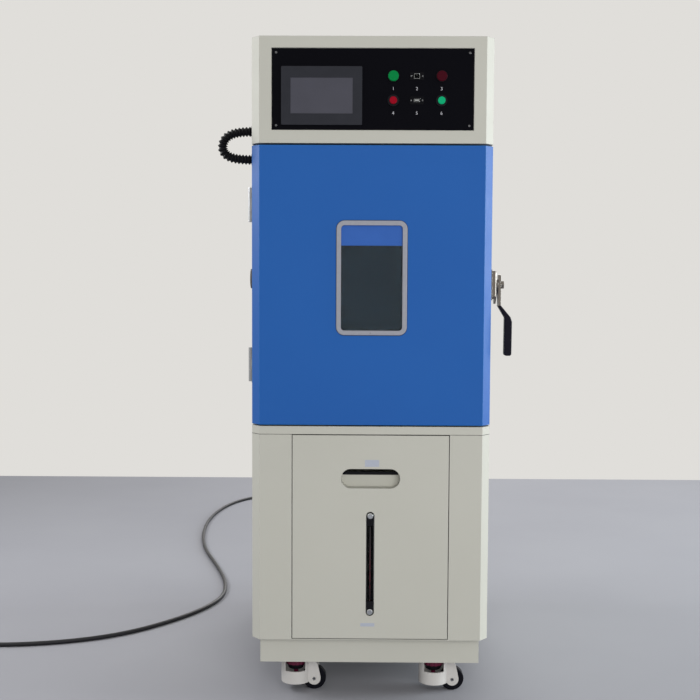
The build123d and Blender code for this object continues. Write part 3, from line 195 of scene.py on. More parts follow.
def brushedStainless(name, colour, shade, stretch, roughness=0.32):
    material, tree, shader, place = newMaterial(name)
    edges, rounded = edgeWear(tree, brushed["fold"])
    drawn = addNode(tree, "ShaderNodeMapping", {"Vector": place, "Scale": stretch})
    base, scratch = mottle(tree, drawn, brushed["scratch"], 3, colour, shade)
    base = rubbed(tree, edges, brushed["wearAndHighlight"], base, brushed["bare"])
    clouds = addNode(tree, "ShaderNodeTexNoise", {
        "Vector": place, "Scale": 1 / brushed["clouds"], "Detail": 3,
    })
    both = addNode(tree, "ShaderNodeMath", {0: scratch, 1: clouds}, operation="MULTIPLY")
    stronger = {0: both, 1: brushed["contrast"]}
    both = addNode(tree, "ShaderNodeMath", stronger, operation="MULTIPLY", use_clamp=True)
    lines = addNode(tree, "ShaderNodeBump", {
        "Height": scratch, "Strength": brushed["strength"], "Distance": brushed["deep"], "Normal": rounded,
    })
    finishSurface(tree, shader, base, both, roughness, brushed, {"Metallic": 1, "Normal": lines})
    return material


# Zinc-plated or cast steel: pale metal with cloudy passivation and small pits
plated = {
    "fold": 0.0008, "wearAndHighlight": 0.6, "bare": "#E0E0DC", "clouds": 0.012, "smoother": 0.1, "rougher": 0.14,
    "pits": 0.0015, "strength": 0.12, "deep": 0.0003,
}


def platedSteel(name, colour, shade, roughness=0.36):
    material, tree, shader, place = newMaterial(name)
    edges, rounded = edgeWear(tree, plated["fold"])
    base, clouds = mottle(tree, place, plated["clouds"], 4, colour, shade)
    base = rubbed(tree, edges, plated["wearAndHighlight"], base, plated["bare"])
    pits = relief(tree, place, plated["pits"], 2, plated, rounded)
    finishSurface(tree, shader, base, clouds, roughness, plated, {"Metallic": 1, "Normal": pits})
    return material


# Injection-moulded ABS or nylon: a spark-eroded grain of about 1 mm, a soft sheen, rubbed edges
moulded = {
    "fold": 0.0008, "wearAndHighlight": 0.6, "clouds": 0.03, "faded": 0.35, "smoother": 0.06, "rougher": 0.08,
    "strength": 0.15, "deep": 0.0002,
}


def mouldedPlastic(name, colour, edge, roughness=0.45, grain=0.0011, gloss=0.4):
    material, tree, shader, place = newMaterial(name)
    edges, rounded = edgeWear(tree, moulded["fold"])
    base, clouds = mottle(tree, place, moulded["clouds"], 3, colour, edge, moulded["faded"])
    base = rubbed(tree, edges, moulded["wearAndHighlight"], base, edge)
    others = {"Specular IOR Level": gloss, "Normal": relief(tree, place, grain, 2, moulded, rounded)}
    finishSurface(tree, shader, base, clouds, roughness, moulded, others)
    return material


# Vulcanised rubber: dull, slightly mottled, with bloom in the hollows
rubber = {
    "spots": 0.008, "bloomed": 0.7, "smoother": 0.08, "rougher": 0.1, "gloss": 0.3,
    "grain": 0.0014, "strength": 0.2, "deep": 0.0003,
}


def mouldedRubber(name, colour, bloom, roughness=0.68):
    material, tree, shader, place = newMaterial(name)
    base, spots = mottle(tree, place, rubber["spots"], 4, colour, bloom, rubber["bloomed"])
    grain = relief(tree, place, rubber["grain"], 3, rubber)
    others = {"Specular IOR Level": rubber["gloss"], "Normal": grain}
    finishSurface(tree, shader, base, spots, roughness, rubber, others)
    return material


# Float glass and clear polycarbonate: a grey body tint, faint smears from wiping, and an index low
# enough to keep the room's mirror image faint
glass = {"smear": 0.05, "wiping": (1, 1, 0.35), "clean": 0.5, "smeared": 0.8, "index": 1.3, "gloss": 0.15}


def floatGlass(name, tint, smears=0.012):
    material, tree, shader, place = newMaterial(name)
    wiped = addNode(tree, "ShaderNodeMapping", {"Vector": place, "Scale": glass["wiping"]})
    smear = addNode(tree, "ShaderNodeTexNoise", {"Vector": wiped, "Scale": 1 / glass["smear"], "Detail": 4})
    rough = {"Value": smear, "From Min": glass["clean"], "From Max": glass["smeared"], "To Max": smears}
    fillSockets(tree, shader, {
        "Base Color": tint, "Transmission Weight": 1, "IOR": glass["index"],
        "Specular IOR Level": glass["gloss"], "Roughness": addNode(tree, "ShaderNodeMapRange", rough),
    })
    return material


# Pressed polycarbonate lenses, pebbled inside. The buttons' lenses have a lamp behind them.
lens = {"speck": 0.002, "core": 0.5, "roughness": 0.35, "gloss": 0.06}


def litLens(name, colour, core, strength):
    material, tree, shader, place = newMaterial(name)
    fillSockets(tree, shader, {
        "Base Color": mottle(tree, place, lens["speck"], 2, colour, core, lens["core"])[0],
        "Roughness": lens["roughness"], "Specular IOR Level": lens["gloss"],
        "Emission Color": core, "Emission Strength": strength,
    })
    return material


# The left and right lamps differ: green for enough water, dark red, unlit, for too little
lampLens = {
    "left": ("#047238", "#088A46"), "right": ("#30040E", "#480A1A"),
    "middle": 0.1135, "speck": 0.003, "pebble": 0.0018, "strength": 0.2, "deep": 0.0003,
}


def splitLens():
    material, tree, shader, place = newMaterial("pressedLenses")
    across = addNode(tree, "ShaderNodeSeparateXYZ", {"Vector": place}, "X")
    side = addNode(tree, "ShaderNodeMath", {0: across, 1: lampLens["middle"]}, operation="GREATER_THAN")
    left = mottle(tree, place, lampLens["speck"], 3, *lampLens["left"])[0]
    right = mottle(tree, place, lampLens["speck"], 3, *lampLens["right"])[0]
    fillSockets(tree, shader, {
        "Base Color": addNode(tree, "ShaderNodeMix", {0: side, 6: left, 7: right}, 2, data_type="RGBA"),
        "Roughness": lens["roughness"], "Specular IOR Level": lens["gloss"],
        "Normal": relief(tree, place, lampLens["pebble"], 1, lampLens),
    })
    return material


# Polyurethane foam: pale cream, with open cells of about 1.4 mm
foam = {"cellsPerMetre": 700, "strength": 0.4, "deep": 0.0006, "roughness": 0.9}


def rigidFoam(name, colour, cell):
    material, tree, shader, place = newMaterial(name)
    cells = addNode(tree, "ShaderNodeTexVoronoi", {"Vector": place, "Scale": foam["cellsPerMetre"]})
    pores = {"Height": cells, "Strength": foam["strength"], "Distance": foam["deep"]}
    fillSockets(tree, shader, {
        "Base Color": addNode(tree, "ShaderNodeMix", {0: cells, 6: cell, 7: colour}, 2, data_type="RGBA"),
        "Roughness": foam["roughness"], "Normal": addNode(tree, "ShaderNodeBump", pores),
    })
    return material


# Touch screen: hard-coated glass over a dark display, the active field a little lighter than its border
screen = {
    "glass": "#4E4E57", "shade": "#484850", "clouds": 0.05, "smooth": 0.28, "rough": 0.45, "gloss": 0.12,
}


def screenGlass():
    material, tree, shader, place = newMaterial("touchGlass")
    base, clouds = mottle(tree, place, screen["clouds"], 3, screen["glass"], screen["shade"])
    rough = {"Value": clouds, "To Min": screen["smooth"], "To Max": screen["rough"]}
    fillSockets(tree, shader, {
        "Base Color": base, "Specular IOR Level": screen["gloss"],
        "Roughness": addNode(tree, "ShaderNodeMapRange", rough),
    })
    return material


# The screw foot: a maroon moulded thumbwheel on a dark rubber pad
foot = {
    "wheel": "#5E0A30", "edges": "#8A1E4C", "pad": "#101014", "padTop": 0.021,
    "fold": 0.0008, "wearAndHighlight": 0.8, "grain": 0.001, "strength": 0.1, "deep": 0.0002, "roughness": 0.4,
}


def footPlastic():
    material, tree, shader, place = newMaterial("thumbwheelPolyamide")
    edges, rounded = edgeWear(tree, foot["fold"])
    wheel = rubbed(tree, edges, foot["wearAndHighlight"], foot["wheel"], foot["edges"])
    height = addNode(tree, "ShaderNodeSeparateXYZ", {"Vector": place}, "Z")
    low = addNode(tree, "ShaderNodeMath", {0: height, 1: foot["padTop"]}, operation="LESS_THAN")
    base = addNode(tree, "ShaderNodeMix", {0: low, 6: wheel, 7: foot["pad"]}, 2, data_type="RGBA")
    fillSockets(tree, shader, {
        "Base Color": base, "Roughness": foot["roughness"],
        "Normal": relief(tree, place, foot["grain"], 2, foot, rounded),
    })
    return material


def dress(material, *names):
    for name in names:
        for slot in nodes[name].material_slots:
            slot.material = material


casingPaint = powderCoat("casingPowderCoat", "#C3C2B8", "#DEDDD7", "#BCBBB0", 0.48, 0.15)
# The cyan edge colour of the door's coat is a painted highlight on its edges
doorPaint = powderCoat("doorPowderCoat", "#255BA8", "#3FB4E6", "#2153A0", 0.42, 0.2)
casterPaint = powderCoat("casterPowderCoat", "#CFCCC8", "#E6E4E0", "#C4C1BC")
panelPaint = powderCoat("panelPowderCoat", "#08080C", "#22222A", "#0B0B10", 0.55, 0.03)
motorPaint = powderCoat("motorEnamel", "#2B2F34", "#55595E", "#24272B", 0.4)
sheetSteel = brushedStainless("linerStainless", "#B2B0AC", "#9A9894", (1, 1, 0.03))
panSteel = brushedStainless("doorPanStainless", "#B2B0AC", "#9C9A96", (0.03, 1, 1))
latchSteel = platedSteel("latchStainless", "#8A847E", "#7A746E", 0.3)
zincSteel = platedSteel("zincPlatedSteel", "#AEB0B2", "#989A9E", 0.34)
dullSteel = platedSteel("blackenedSteel", "#7E7F83", "#6A6B70", 0.4)
brightChrome = platedSteel("chromePlate", "#CDD0D2", "#BFC2C5", 0.16)
finAluminium = brushedStainless("finAluminium", "#BFC0C0", "#A9AAAA", (1, 0.2, 1), 0.4)
frameRubber = mouldedRubber("siliconeRubber", "#94959D", "#A8A9B0")
sealRubber = mouldedRubber("sealRubber", "#8E8E8C", "#A3A3A0")
plugRubber = mouldedRubber("plugSilicone", "#5C5956", "#6E6B67")
gripPlastic = mouldedPlastic("gripPolyamide", "#100F17", "#232230", 0.45, 0.0011, 0.1)
fittingPlastic = mouldedPlastic("fittingPolyamide", "#0F0F13", "#26262B", 0.5, 0.0011, 0.12)
bezelPlastic = mouldedPlastic("bezelAbs", "#2B2C31", "#3E3F46", 0.45, 0.0008, 0.08)
socketPlastic = mouldedPlastic("socketPbt", "#0A0A0D", "#1C1C21", 0.5, 0.0008, 0.06)
# Dark nylon wheel, its colour darkened further by painted shade from the caster's cup over it
wheelPlasticAndShade = mouldedPlastic("wheelPolyamideAndShade", "#0A0A10", "#1E1E27", 0.42, 0.0011, 0.12)
tankPlastic = mouldedPlastic("tankPolyethylene", "#DDE0DC", "#EFF1EE", 0.5, 0.002)
hosePlastic = mouldedPlastic("hosePolyamide", "#09090C", "#1E1E22", 0.4, 0.0008, 0.15)
cordPlastic = mouldedPlastic("cordPvc", "#17171B", "#2C2C31", 0.42, 0.0009)
paneGlass = floatGlass("paneGlass", "#78909F")
tubeGlass = floatGlass("gaugePolycarbonate", "#8A8C90", 0.1)


dress(casingPaint, "lower_casing", "upper_casing", "drawer_front", "base_frame", "rear_cover")
dress(doorPaint, "door_skin")
dress(panelPaint, "control_panel")
dress(motorPaint, "fan_motor", "compressor")
dress(sheetSteel, "chamber_liner", "air_baffle", "shelves", "heater_coil", "cable_port")
dress(panSteel, "door_liner")
dress(latchSteel, "latch_base", "latch_keeper", "latch_lever")
dress(zincSteel, "hinge_cabinet_leaves", "hinge_door_leaves", "caster_plates", "panel_screws")
dress(brightChrome, "gauge_bolts")
dress(finAluminium, "evaporator_coil", "condenser", "circulation_fan", "condenser_fan")
dress(rigidFoam("polyurethaneFoam", "#E8DDB8", "#CBBE94"), "chamber_insulation")
dress(frameRubber, "window_frame")
dress(sealRubber, "door_seal")
dress(plugRubber, "port_plug")
dress(gripPlastic, "latch_grip")
dress(fittingPlastic, "cabinet_glands", "door_gland", "gauge_body", "indicator_bodies")
dress(socketPlastic, "data_sockets")
dress(bezelPlastic, "touch_screen_body")
dress(screenGlass(), "touch_screen_glass")
dress(splitLens(), "lamp_lenses")
dress(litLens("powerButtonLens", "#78051A", "#A80C20", 0.12), "power_button")
dress(litLens("lightingButtonLens", "#08744A", "#10A874", 0.4), "lighting_button")
dress(paneGlass, "window_panes")
dress(tubeGlass, "gauge_tube")
dress(tankPlastic, "water_tank")
dress(hosePlastic, "wiring_hose")
dress(cordPlastic, "power_cord", "power_plug")
footMaterial = footPlastic()
casterNames = ["left_front", "left_rear", "right_front", "right_rear"]
for corner in casterNames:
    dress(casterPaint, corner + "_caster_body")
    dress(wheelPlasticAndShade, corner + "_caster_wheel")
    dress(footMaterial, corner + "_caster_foot")
print("materials on every node")


def addPiece(name, mesh, material, body):
    piece = addObject(name, mesh)
    mesh.materials.clear()
    mesh.materials.append(material)
    if body:
        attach(piece, body)
    return piece


def meshFrom(name, build, smooth=True):
    shape = bmesh.new()
    build(shape)
    bmesh.ops.remove_doubles(shape, verts=shape.verts, dist=1e-6)
    bmesh.ops.recalc_face_normals(shape, faces=shape.faces)
    mesh = bpy.data.meshes.new(name)
    shape.to_mesh(mesh)
    shape.free()
    for face in mesh.polygons:
        face.use_smooth = smooth
    return mesh


def plainMesh(piece):
    # The evaluated shape of an object as a mesh of its own
    bpy.context.view_layer.update()
    graph = bpy.context.evaluated_depsgraph_get()
    return bpy.data.meshes.new_from_object(piece.evaluated_get(graph), depsgraph=graph)


def addBlock(shape, low, high):
    xs, ys, zs = zip(low, high)
    corners = [shape.verts.new((x, y, z)) for x in xs for y in ys for z in zs]
    for face in ((0, 1, 3, 2), (4, 6, 7, 5), (0, 4, 5, 1), (2, 3, 7, 6), (0, 2, 6, 4), (1, 5, 7, 3)):
        shape.faces.new([corners[i] for i in face])


def joinRings(shape, first, second):
    for i in range(len(first)):
        j = (i + 1) % len(first)
        shape.faces.new((first[i], first[j], second[j], second[i]))


def addTurned(shape, profile, origin, axis, sides=32, closed=False):
    # Turns (distance along the axis, radius) pairs round the axis. A closed profile makes a ring.
    toAxis = Vector((0, 0, 1)).rotation_difference(Vector(axis)).to_matrix()
    rings = []
    for along, radius in profile:
        ring = []
        for i in range(sides):
            angle = 2 * math.pi * i / sides
            point = Vector((radius * math.cos(angle), radius * math.sin(angle), along))
            ring.append(shape.verts.new(Vector(origin) + toAxis @ point))
        rings.append(ring)
    pairs = list(zip(rings, rings[1:]))
    if closed:
        pairs.append((rings[-1], rings[0]))
    else:
        shape.faces.new(rings[0][::-1])
        shape.faces.new(rings[-1])
    for lower, upper in pairs:
        joinRings(shape, lower, upper)


def roundedLoop(halfWidth, halfHeight, corner, steps=8):
    # Points and outward directions round a rectangle with round corners, in X and Z
    loop = []
    for turn, (sx, sz) in enumerate(((1, 1), (-1, 1), (-1, -1), (1, -1))):
        centre = Vector((sx * (halfWidth - corner), 0, sz * (halfHeight - corner)))
        for step in range(steps + 1):
            angle = math.pi / 2 * (turn + step / steps)
            out = Vector((math.cos(angle), 0, math.sin(angle)))
            loop.append((centre + corner * out, out))
    return loop


def addSweptFrame(shape, centre, size, corner, profile):
    # Sweeps (outwards, along Y) pairs round a frame
    rings = []
    for point, out in roundedLoop(size[0] / 2, size[1] / 2, corner):
        middle = Vector(centre) + point
        rings.append([shape.verts.new(middle + u * out + Vector((0, v, 0))) for u, v in profile])
    for first, second in zip(rings, rings[1:] + rings[:1]):
        joinRings(shape, first, second)


# Power cord: the same route as the cabinet's own cord, from its gland over the floor to the plug
cordSizes = {"diameter": 0.013, "floor": 0.0065, "start": (-0.150, 0.470, 0.280), "plugHeight": 0.024}


def cordRoute():
    x, y, z = cordSizes["start"]
    floor = cordSizes["floor"]
    return [
        (x, y, z),
        (x, y + 0.062, z),
        (x + 0.002, y + 0.096, z - 0.075),
        (x + 0.006, y + 0.105, z - 0.160),
        (x + 0.012, y + 0.135, floor + 0.045),
        (x + 0.022, y + 0.205, floor),
        (-0.118, 0.830, floor),
        (-0.096, 1.000, floor),
        (-0.082, 1.180, floor),
        (-0.088, 1.370, floor),
        (-0.110, 1.560, floor),
        (-0.146, 1.745, floor),
        (-0.190, 1.925, floor),
        (-0.252, 2.090, floor),
        (-0.345, 2.205, floor),
        (-0.470, 2.232, floor),
        (-0.583, 2.160, floor),
        (-0.655, 2.020, floor),
        (-0.695, 1.845, floor),
        (-0.711, 1.655, floor),
        (-0.704, 1.465, floor),
        (-0.683, 1.280, floor),
        (-0.645, 1.100, floor),
        (-0.590, 0.930, floor),
        (-0.540, 0.765, floor),
        (-0.504, 0.610, floor),
        (-0.497, 0.455, floor),
        (-0.545, 0.315, floor),
        (-0.635, 0.180, floor),
        (-0.755, 0.055, floor),
        (-0.905, -0.020, floor),
        (-1.080, -0.055, floor),
        (-1.230, -0.048, floor),
        (-1.370, -0.010, cordSizes["plugHeight"] / 2),
    ]


def addRoute(name, points, radius=0.0):
    curve = bpy.data.curves.new(name, "CURVE")
    curve.dimensions = "3D"
    spline = curve.splines.new("NURBS")
    spline.points.add(len(points) - 1)
    for target, point in zip(spline.points, points):
        target.co = (*point, 1)
    spline.order_u = 3
    spline.use_endpoint_u = True
    spline.resolution_u = 10
    curve.bevel_depth = radius
    curve.bevel_resolution = 5
    curve.use_fill_caps = radius > 0
    return addObject(name, curve)


def lineLength(points):
    return sum((Vector(b) - Vector(a)).length for a, b in zip(points, points[1:]))


def routeLine(name, points):
    # The route's smooth line as a list of points
    guide = addRoute(name, points)
    mesh = plainMesh(guide)
    line = [tuple(v.co) for v in mesh.vertices]
    bpy.data.objects.remove(guide)
    return line


powerCord = addRoute("powerCord", cordRoute(), cordSizes["diameter"] / 2)
powerCord.data.materials.append(cordPlastic)
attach(powerCord, "cabinet")
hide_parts("power_cord")
cordLine = routeLine("cordGuide", cordRoute())
print("power cord laid:", round(lineLength(cordLine), 3), "m")

# Strain relief of the power cord: a tapered sleeve with grooves, moulded on the gland
sleeve = {
    "length": 0.038, "wide": 0.0105, "narrow": 0.0078, "bore": 0.0066, "sides": 36,
    "grooves": 6, "first": 0.12, "spread": 0.8, "depth": 0.0011, "slope": 0.001, "flat": 0.0018,
    "step": 0.0001,
}


def buildSleeve(shape):
    profile = [(0, sleeve["bore"]), (0, sleeve["wide"])]
    for i in range(sleeve["grooves"]):
        start = sleeve["length"] * (sleeve["first"] + sleeve["spread"] * i / sleeve["grooves"])
        radius = sleeve["wide"] + (sleeve["narrow"] - sleeve["wide"]) * start / sleeve["length"]
        low = start + sleeve["slope"]
        high = low + sleeve["flat"]
        profile += [
            (start, radius), (low, radius - sleeve["depth"]),
            (high, radius - sleeve["depth"]), (high + sleeve["slope"], radius - sleeve["step"]),
        ]
    profile += [(sleeve["length"], sleeve["narrow"]), (sleeve["length"], sleeve["bore"])]
    addTurned(shape, profile, cordSizes["start"], (0, 1, 0), sleeve["sides"], closed=True)


addPiece("cordRelief", meshFrom("cordRelief", buildSleeve), cordPlastic, "cabinet")

# Corrugated hose for the door's wiring: ribs at one pitch along its route, made with Geometry Nodes
hose = {"pitch": 0.0088, "valley": 0.0090, "crest": 0.0127, "sides": 40, "steps": 10}
hoseRoute = [
    (-0.3125, -0.400, 1.487),
    (-0.350, -0.400, 1.487),
    (-0.385, -0.400, 1.470),
    (-0.390, -0.400, 1.434),
    (-0.358, -0.400, 1.415),
    (-0.3125, -0.400, 1.415),
]


def newTree(name, inputs):
    tree = bpy.data.node_groups.new(name, "GeometryNodeTree")
    tree.interface.new_socket("Geometry", in_out="INPUT", socket_type="NodeSocketGeometry")
    for title, kind in inputs:
        tree.interface.new_socket(title, in_out="INPUT", socket_type=kind)
    tree.interface.new_socket("Geometry", in_out="OUTPUT", socket_type="NodeSocketGeometry")
    return tree, tree.nodes.new("NodeGroupInput"), tree.nodes.new("NodeGroupOutput")


def runTree(piece, tree, values):
    # Applies the tree to the piece with the given inputs and returns the plain mesh
    modifier = piece.modifiers.new(tree.name, "NODES")
    modifier.node_group = tree
    for item in tree.interface.items_tree:
        if item.in_out == "INPUT" and item.name in values:
            modifier[item.identifier] = values[item.name]
    mesh = plainMesh(piece)
    piece.modifiers.remove(modifier)
    return mesh


def endTree(tree, shape, given, result):
    # Real geometry with its material on, as the export needs it
    whole = addNode(tree, "GeometryNodeRealizeInstances", {"Geometry": shape})
    dressed = {"Geometry": whole, "Material": given.outputs["Material"]}
    tree.links.new(addNode(tree, "GeometryNodeSetMaterial", dressed), result.inputs["Geometry"])


def corrugatedTree():
    sizes = [("Pitch", "NodeSocketFloat"), ("Valley", "NodeSocketFloat"), ("Crest", "NodeSocketFloat")]
    tree, given, result = newTree("corrugatedHose", sizes + [("Material", "NodeSocketMaterial")])
    pitch = given.outputs["Pitch"]
    step = addNode(tree, "ShaderNodeMath", {0: pitch, 1: hose["steps"]}, operation="DIVIDE")
    run = {"Curve": given.outputs["Geometry"], "Length": step}
    line = addNode(tree, "GeometryNodeResampleCurve", run, mode="LENGTH")
    along = addNode(tree, "GeometryNodeSplineParameter", {}, "Length")
    turns = addNode(tree, "ShaderNodeMath", {0: along, 1: pitch}, operation="DIVIDE")
    angle = addNode(tree, "ShaderNodeMath", {0: turns, 1: 2 * math.pi}, operation="MULTIPLY")
    wave = addNode(tree, "ShaderNodeMath", {0: angle}, operation="COSINE")
    radius = addNode(tree, "ShaderNodeMapRange", {
        "Value": wave, "From Min": 1.0, "From Max": -1.0,
        "To Min": given.outputs["Valley"], "To Max": given.outputs["Crest"],
    })
    ring = addNode(tree, "GeometryNodeCurvePrimitiveCircle", {"Resolution": hose["sides"], "Radius": 1.0})
    tube = addNode(tree, "GeometryNodeCurveToMesh", {
        "Curve": line, "Profile Curve": ring, "Scale": radius, "Fill Caps": True,
    })
    endTree(tree, tube, given, result)
    return tree


hoseLine = routeLine("hoseGuide", hoseRoute)
hoseGuide = addRoute("hoseGuide", hoseRoute)
hoseInputs = {"Pitch": hose["pitch"], "Valley": hose["valley"], "Crest": hose["crest"]}
hoseInputs["Material"] = hosePlastic
hoseMesh = runTree(hoseGuide, corrugatedTree(), hoseInputs)
bpy.data.objects.remove(hoseGuide)
wiringHose = addPiece("wiringHose", hoseMesh, hosePlastic, None)
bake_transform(wiringHose)
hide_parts("wiring_hose")
print("wiring hose ribbed:", round(lineLength(hoseLine), 3), "m")


# Screw heads: a flat head with a hexagon socket, one at each point of the piece
screws = {
    "sides": 28, "socket": 0.5,
    "leafRows": (-0.032, 0, 0.032), "leafRadius": 0.0035, "leafHeight": 0.0012,
    "leafFace": -0.313, "leafEdge": 0.011, "leafEnd": 0.045,
    "panelRadius": 0.0028, "panelHeight": 0.0016, "panelInset": 0.011,
    "socketRadius": 0.0019, "socketHeight": 0.0010, "socketReach": 0.0145, "socketProud": 0.0015,
}


def screwTree():
    sizes = [("Radius", "NodeSocketFloat"), ("Height", "NodeSocketFloat"), ("Turn", "NodeSocketVector")]
    tree, given, result = newTree("screwHeads", sizes + [("Material", "NodeSocketMaterial")])
    radius = given.outputs["Radius"]
    half = addNode(tree, "ShaderNodeMath", {0: radius, 1: screws["socket"]}, operation="MULTIPLY")
    outline = tree.nodes.new("GeometryNodeJoinGeometry")
    for sockets in ({"Resolution": screws["sides"], "Radius": radius}, {"Resolution": 6, "Radius": half}):
        tree.links.new(addNode(tree, "GeometryNodeCurvePrimitiveCircle", sockets), outline.inputs[0])
    face = addNode(tree, "GeometryNodeFillCurve", {"Curve": outline.outputs[0]})
    head = addNode(tree, "GeometryNodeExtrudeMesh", {
        "Mesh": face, "Individual": False, "Offset Scale": given.outputs["Height"],
    })
    floor = addNode(tree, "GeometryNodeMeshCircle", {"Vertices": 6, "Radius": half}, fill_type="NGON")
    whole = tree.nodes.new("GeometryNodeJoinGeometry")
    for part in (head, floor):
        tree.links.new(part, whole.inputs[0])
    placed = addNode(tree, "GeometryNodeInstanceOnPoints", {
        "Points": given.outputs["Geometry"], "Instance": whole.outputs[0], "Rotation": given.outputs["Turn"],
    })
    endTree(tree, placed, given, result)
    return tree


headTree = screwTree()
turns = {
    "left": (0, -math.pi / 2, 0), "right": (0, math.pi / 2, 0),
    "front": (math.pi / 2, 0, 0), "back": (-math.pi / 2, 0, 0),
}


def addScrews(name, places, facing, radius, height, material, body, slot):
    mesh = bpy.data.meshes.new(name + "Places")
    mesh.from_pydata(places, [], [])
    guide = addObject(name + "Places", mesh)
    inputs = {"Radius": radius, "Height": height, "Turn": turns[facing], "Material": material}
    heads = runTree(guide, headTree, inputs)
    bpy.data.objects.remove(guide)
    return addPiece(name, heads, material, body)


def addHingeScrews(name, node, direction, body):
    low, high = box(node)
    far = high.y - screws["leafEdge"] if direction > 0 else low.y + screws["leafEdge"]
    middles = (low.z + screws["leafEnd"], high.z - screws["leafEnd"])
    places = [(screws["leafFace"], far, z + dz) for z in middles for dz in screws["leafRows"]]
    size = (screws["leafRadius"], screws["leafHeight"])
    addScrews(name, places, "left", *size, zincSteel, body, "zinc_steel")


addHingeScrews("hingeScrewsCabinet", "hinge_cabinet_leaves", 1, "cabinet")
addHingeScrews("hingeScrewsDoor", "hinge_door_leaves", -1, "door")

panelLow, panelHigh = box("control_panel")
cornerPlaces = [
    (x, panelLow.y, z)
    for x in (panelLow.x + screws["panelInset"], panelHigh.x - screws["panelInset"])
    for z in (panelLow.z + screws["panelInset"], panelHigh.z - screws["panelInset"])
]
panelScrews = addScrews(
    "panelScrews", cornerPlaces, "front", screws["panelRadius"], screws["panelHeight"], dullSteel,
    "cabinet", "zinc_steel",
)
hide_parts("panel_screws")
socketsLow, socketsHigh = box("data_sockets")
socketX = (socketsLow.x + socketsHigh.x) / 2
lampRows = (1.622, 1.561)
socketPlaces = [
    (socketX + dx, panelLow.y - screws["socketProud"], z)
    for z in lampRows for dx in (-screws["socketReach"], screws["socketReach"])
]
addScrews(
    "socketScrews", socketPlaces, "front", screws["socketRadius"], screws["socketHeight"], dullSteel,
    "cabinet", "zinc_steel",
)

# The rear cover's screws: a row down each side, and a short row beyond each end of it
cover = {
    "radius": 0.005, "height": 0.002, "inset": 0.008, "end": 0.02, "rows": 8,
    "columns": (-0.15, 0, 0.15), "beyond": 0.012,
}
coverLow, coverHigh = box("rear_cover")
coverRun = coverHigh.z - coverLow.z - 2 * cover["end"]
coverRows = [coverLow.z + cover["end"] + coverRun * i / (cover["rows"] - 1) for i in range(cover["rows"])]
coverEnds = (coverRows[0] - cover["beyond"], coverRows[-1] + cover["beyond"])
coverSides = (coverLow.x + cover["inset"], coverHigh.x - cover["inset"])
coverPlaces = [(x, coverHigh.y, z) for x in coverSides for z in coverRows]
coverPlaces += [(x, coverHigh.y, z) for x in cover["columns"] for z in coverEnds]
addScrews(
    "coverScrews", coverPlaces, "back", cover["radius"], cover["height"], zincSteel, "cabinet", "zinc_steel"
)

axle = {"height": 0.0315, "halfFork": 0.019, "radius": 0.0045, "proud": 0.0015}
for corner in casterNames:
    low, high = box(corner + "_caster_wheel")
    middle = (low + high) / 2
    for facing, side in (("front", -1), ("back", 1)):
        place = [(middle.x, middle.y + side * axle["halfFork"], axle["height"])]
        name = corner + "AxleHead" + facing.capitalize()
        swivel = corner + "_swivel_body"
        addScrews(name, place, facing, axle["radius"], axle["proud"], zincSteel, swivel, "zinc_steel")
print("screw heads placed")

# Door gasket: a bulb between two lips on a flat foot, swept round the step in the door's pan
gasket = {
    "width": 0.016, "corner": 0.032, "bulb": 0.42, "seat": 0.42, "rise": 0.57, "steps": 8,
    "lip": ((1, 0), (1, 0.28), (0.62, 0.62), (0.50, 0.40)),  # shares of half the width and of the depth
}


def buildGasket(shape):
    low, high = box("door_seal")
    deep = high.y - low.y
    half = gasket["width"] / 2
    profile = [(-across * half, up * deep) for across, up in gasket["lip"]]
    for i in range(gasket["steps"] + 1):
        angle = math.pi * (1 - i / gasket["steps"])
        rise = gasket["seat"] + gasket["rise"] * math.sin(angle)
        profile.append((gasket["bulb"] * half * math.cos(angle), rise * deep))
    profile += [(across * half, up * deep) for across, up in reversed(gasket["lip"])]
    size = (high.x - low.x - gasket["width"], high.z - low.z - gasket["width"])
    centre = ((low.x + high.x) / 2, low.y, (low.z + high.z) / 2)
    addSweptFrame(shape, centre, size, gasket["corner"] - half, profile)


doorGasket = addPiece("doorGasket", meshFrom("doorGasket", buildGasket), sealRubber, "door")
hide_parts("door_seal")

# Blue band across the top of the window: a printed film on the outer pane
band = {
    "colour": "#3A66B4", "shade": "#3560AC", "clouds": 0.03, "roughness": 0.5, "gloss": 0.2,
    "low": 1.193, "width": 0.1576, "margin": 0.0042, "thick": 0.0004, "gap": 0.0001, "corner": 0.009,
    "steps": 6,
}


def filmPrint():
    material, tree, shader, place = newMaterial("printedFilm")
    base = mottle(tree, place, band["clouds"], 2, band["colour"], band["shade"])[0]
    fillSockets(tree, shader, {
        "Base Color": base, "Roughness": band["roughness"], "Specular IOR Level": band["gloss"],
    })
    return material


def buildBand(shape):
    low, high = box("window_panes")
    back = low.y - band["thick"] - band["gap"]
    half, corner = band["width"] / 2, band["corner"]
    cornerHeight = high.z - band["margin"] - corner
    outline = [(-half, band["low"]), (half, band["low"])]
    for turn, side in ((0, 1), (1, -1)):
        for step in range(band["steps"] + 1):
            angle = math.pi / 2 * (turn + step / band["steps"])
            x = side * (half - corner) + corner * math.cos(angle)
            outline.append((x, cornerHeight + corner * math.sin(angle)))
    front = [shape.verts.new((x, back, z)) for x, z in outline]
    rear = [shape.verts.new((x, back + band["thick"], z)) for x, z in outline]
    shape.faces.new(front)
    shape.faces.new(rear[::-1])
    joinRings(shape, front, rear)


addPiece("windowBand", meshFrom("windowBand", buildBand, False), filmPrint(), "door")

# Plain numbers on the panel, screen-printed under each lamp, button and socket
numbers = {
    "size": 0.0112, "thick": 0.00008, "columns": (0.052, 0.112, 0.175), "rows": (1.5905, 1.529),
    "ink": "#C9C9CE", "thin": "#B4B4BA", "speck": 0.002, "roughness": 0.6,
}


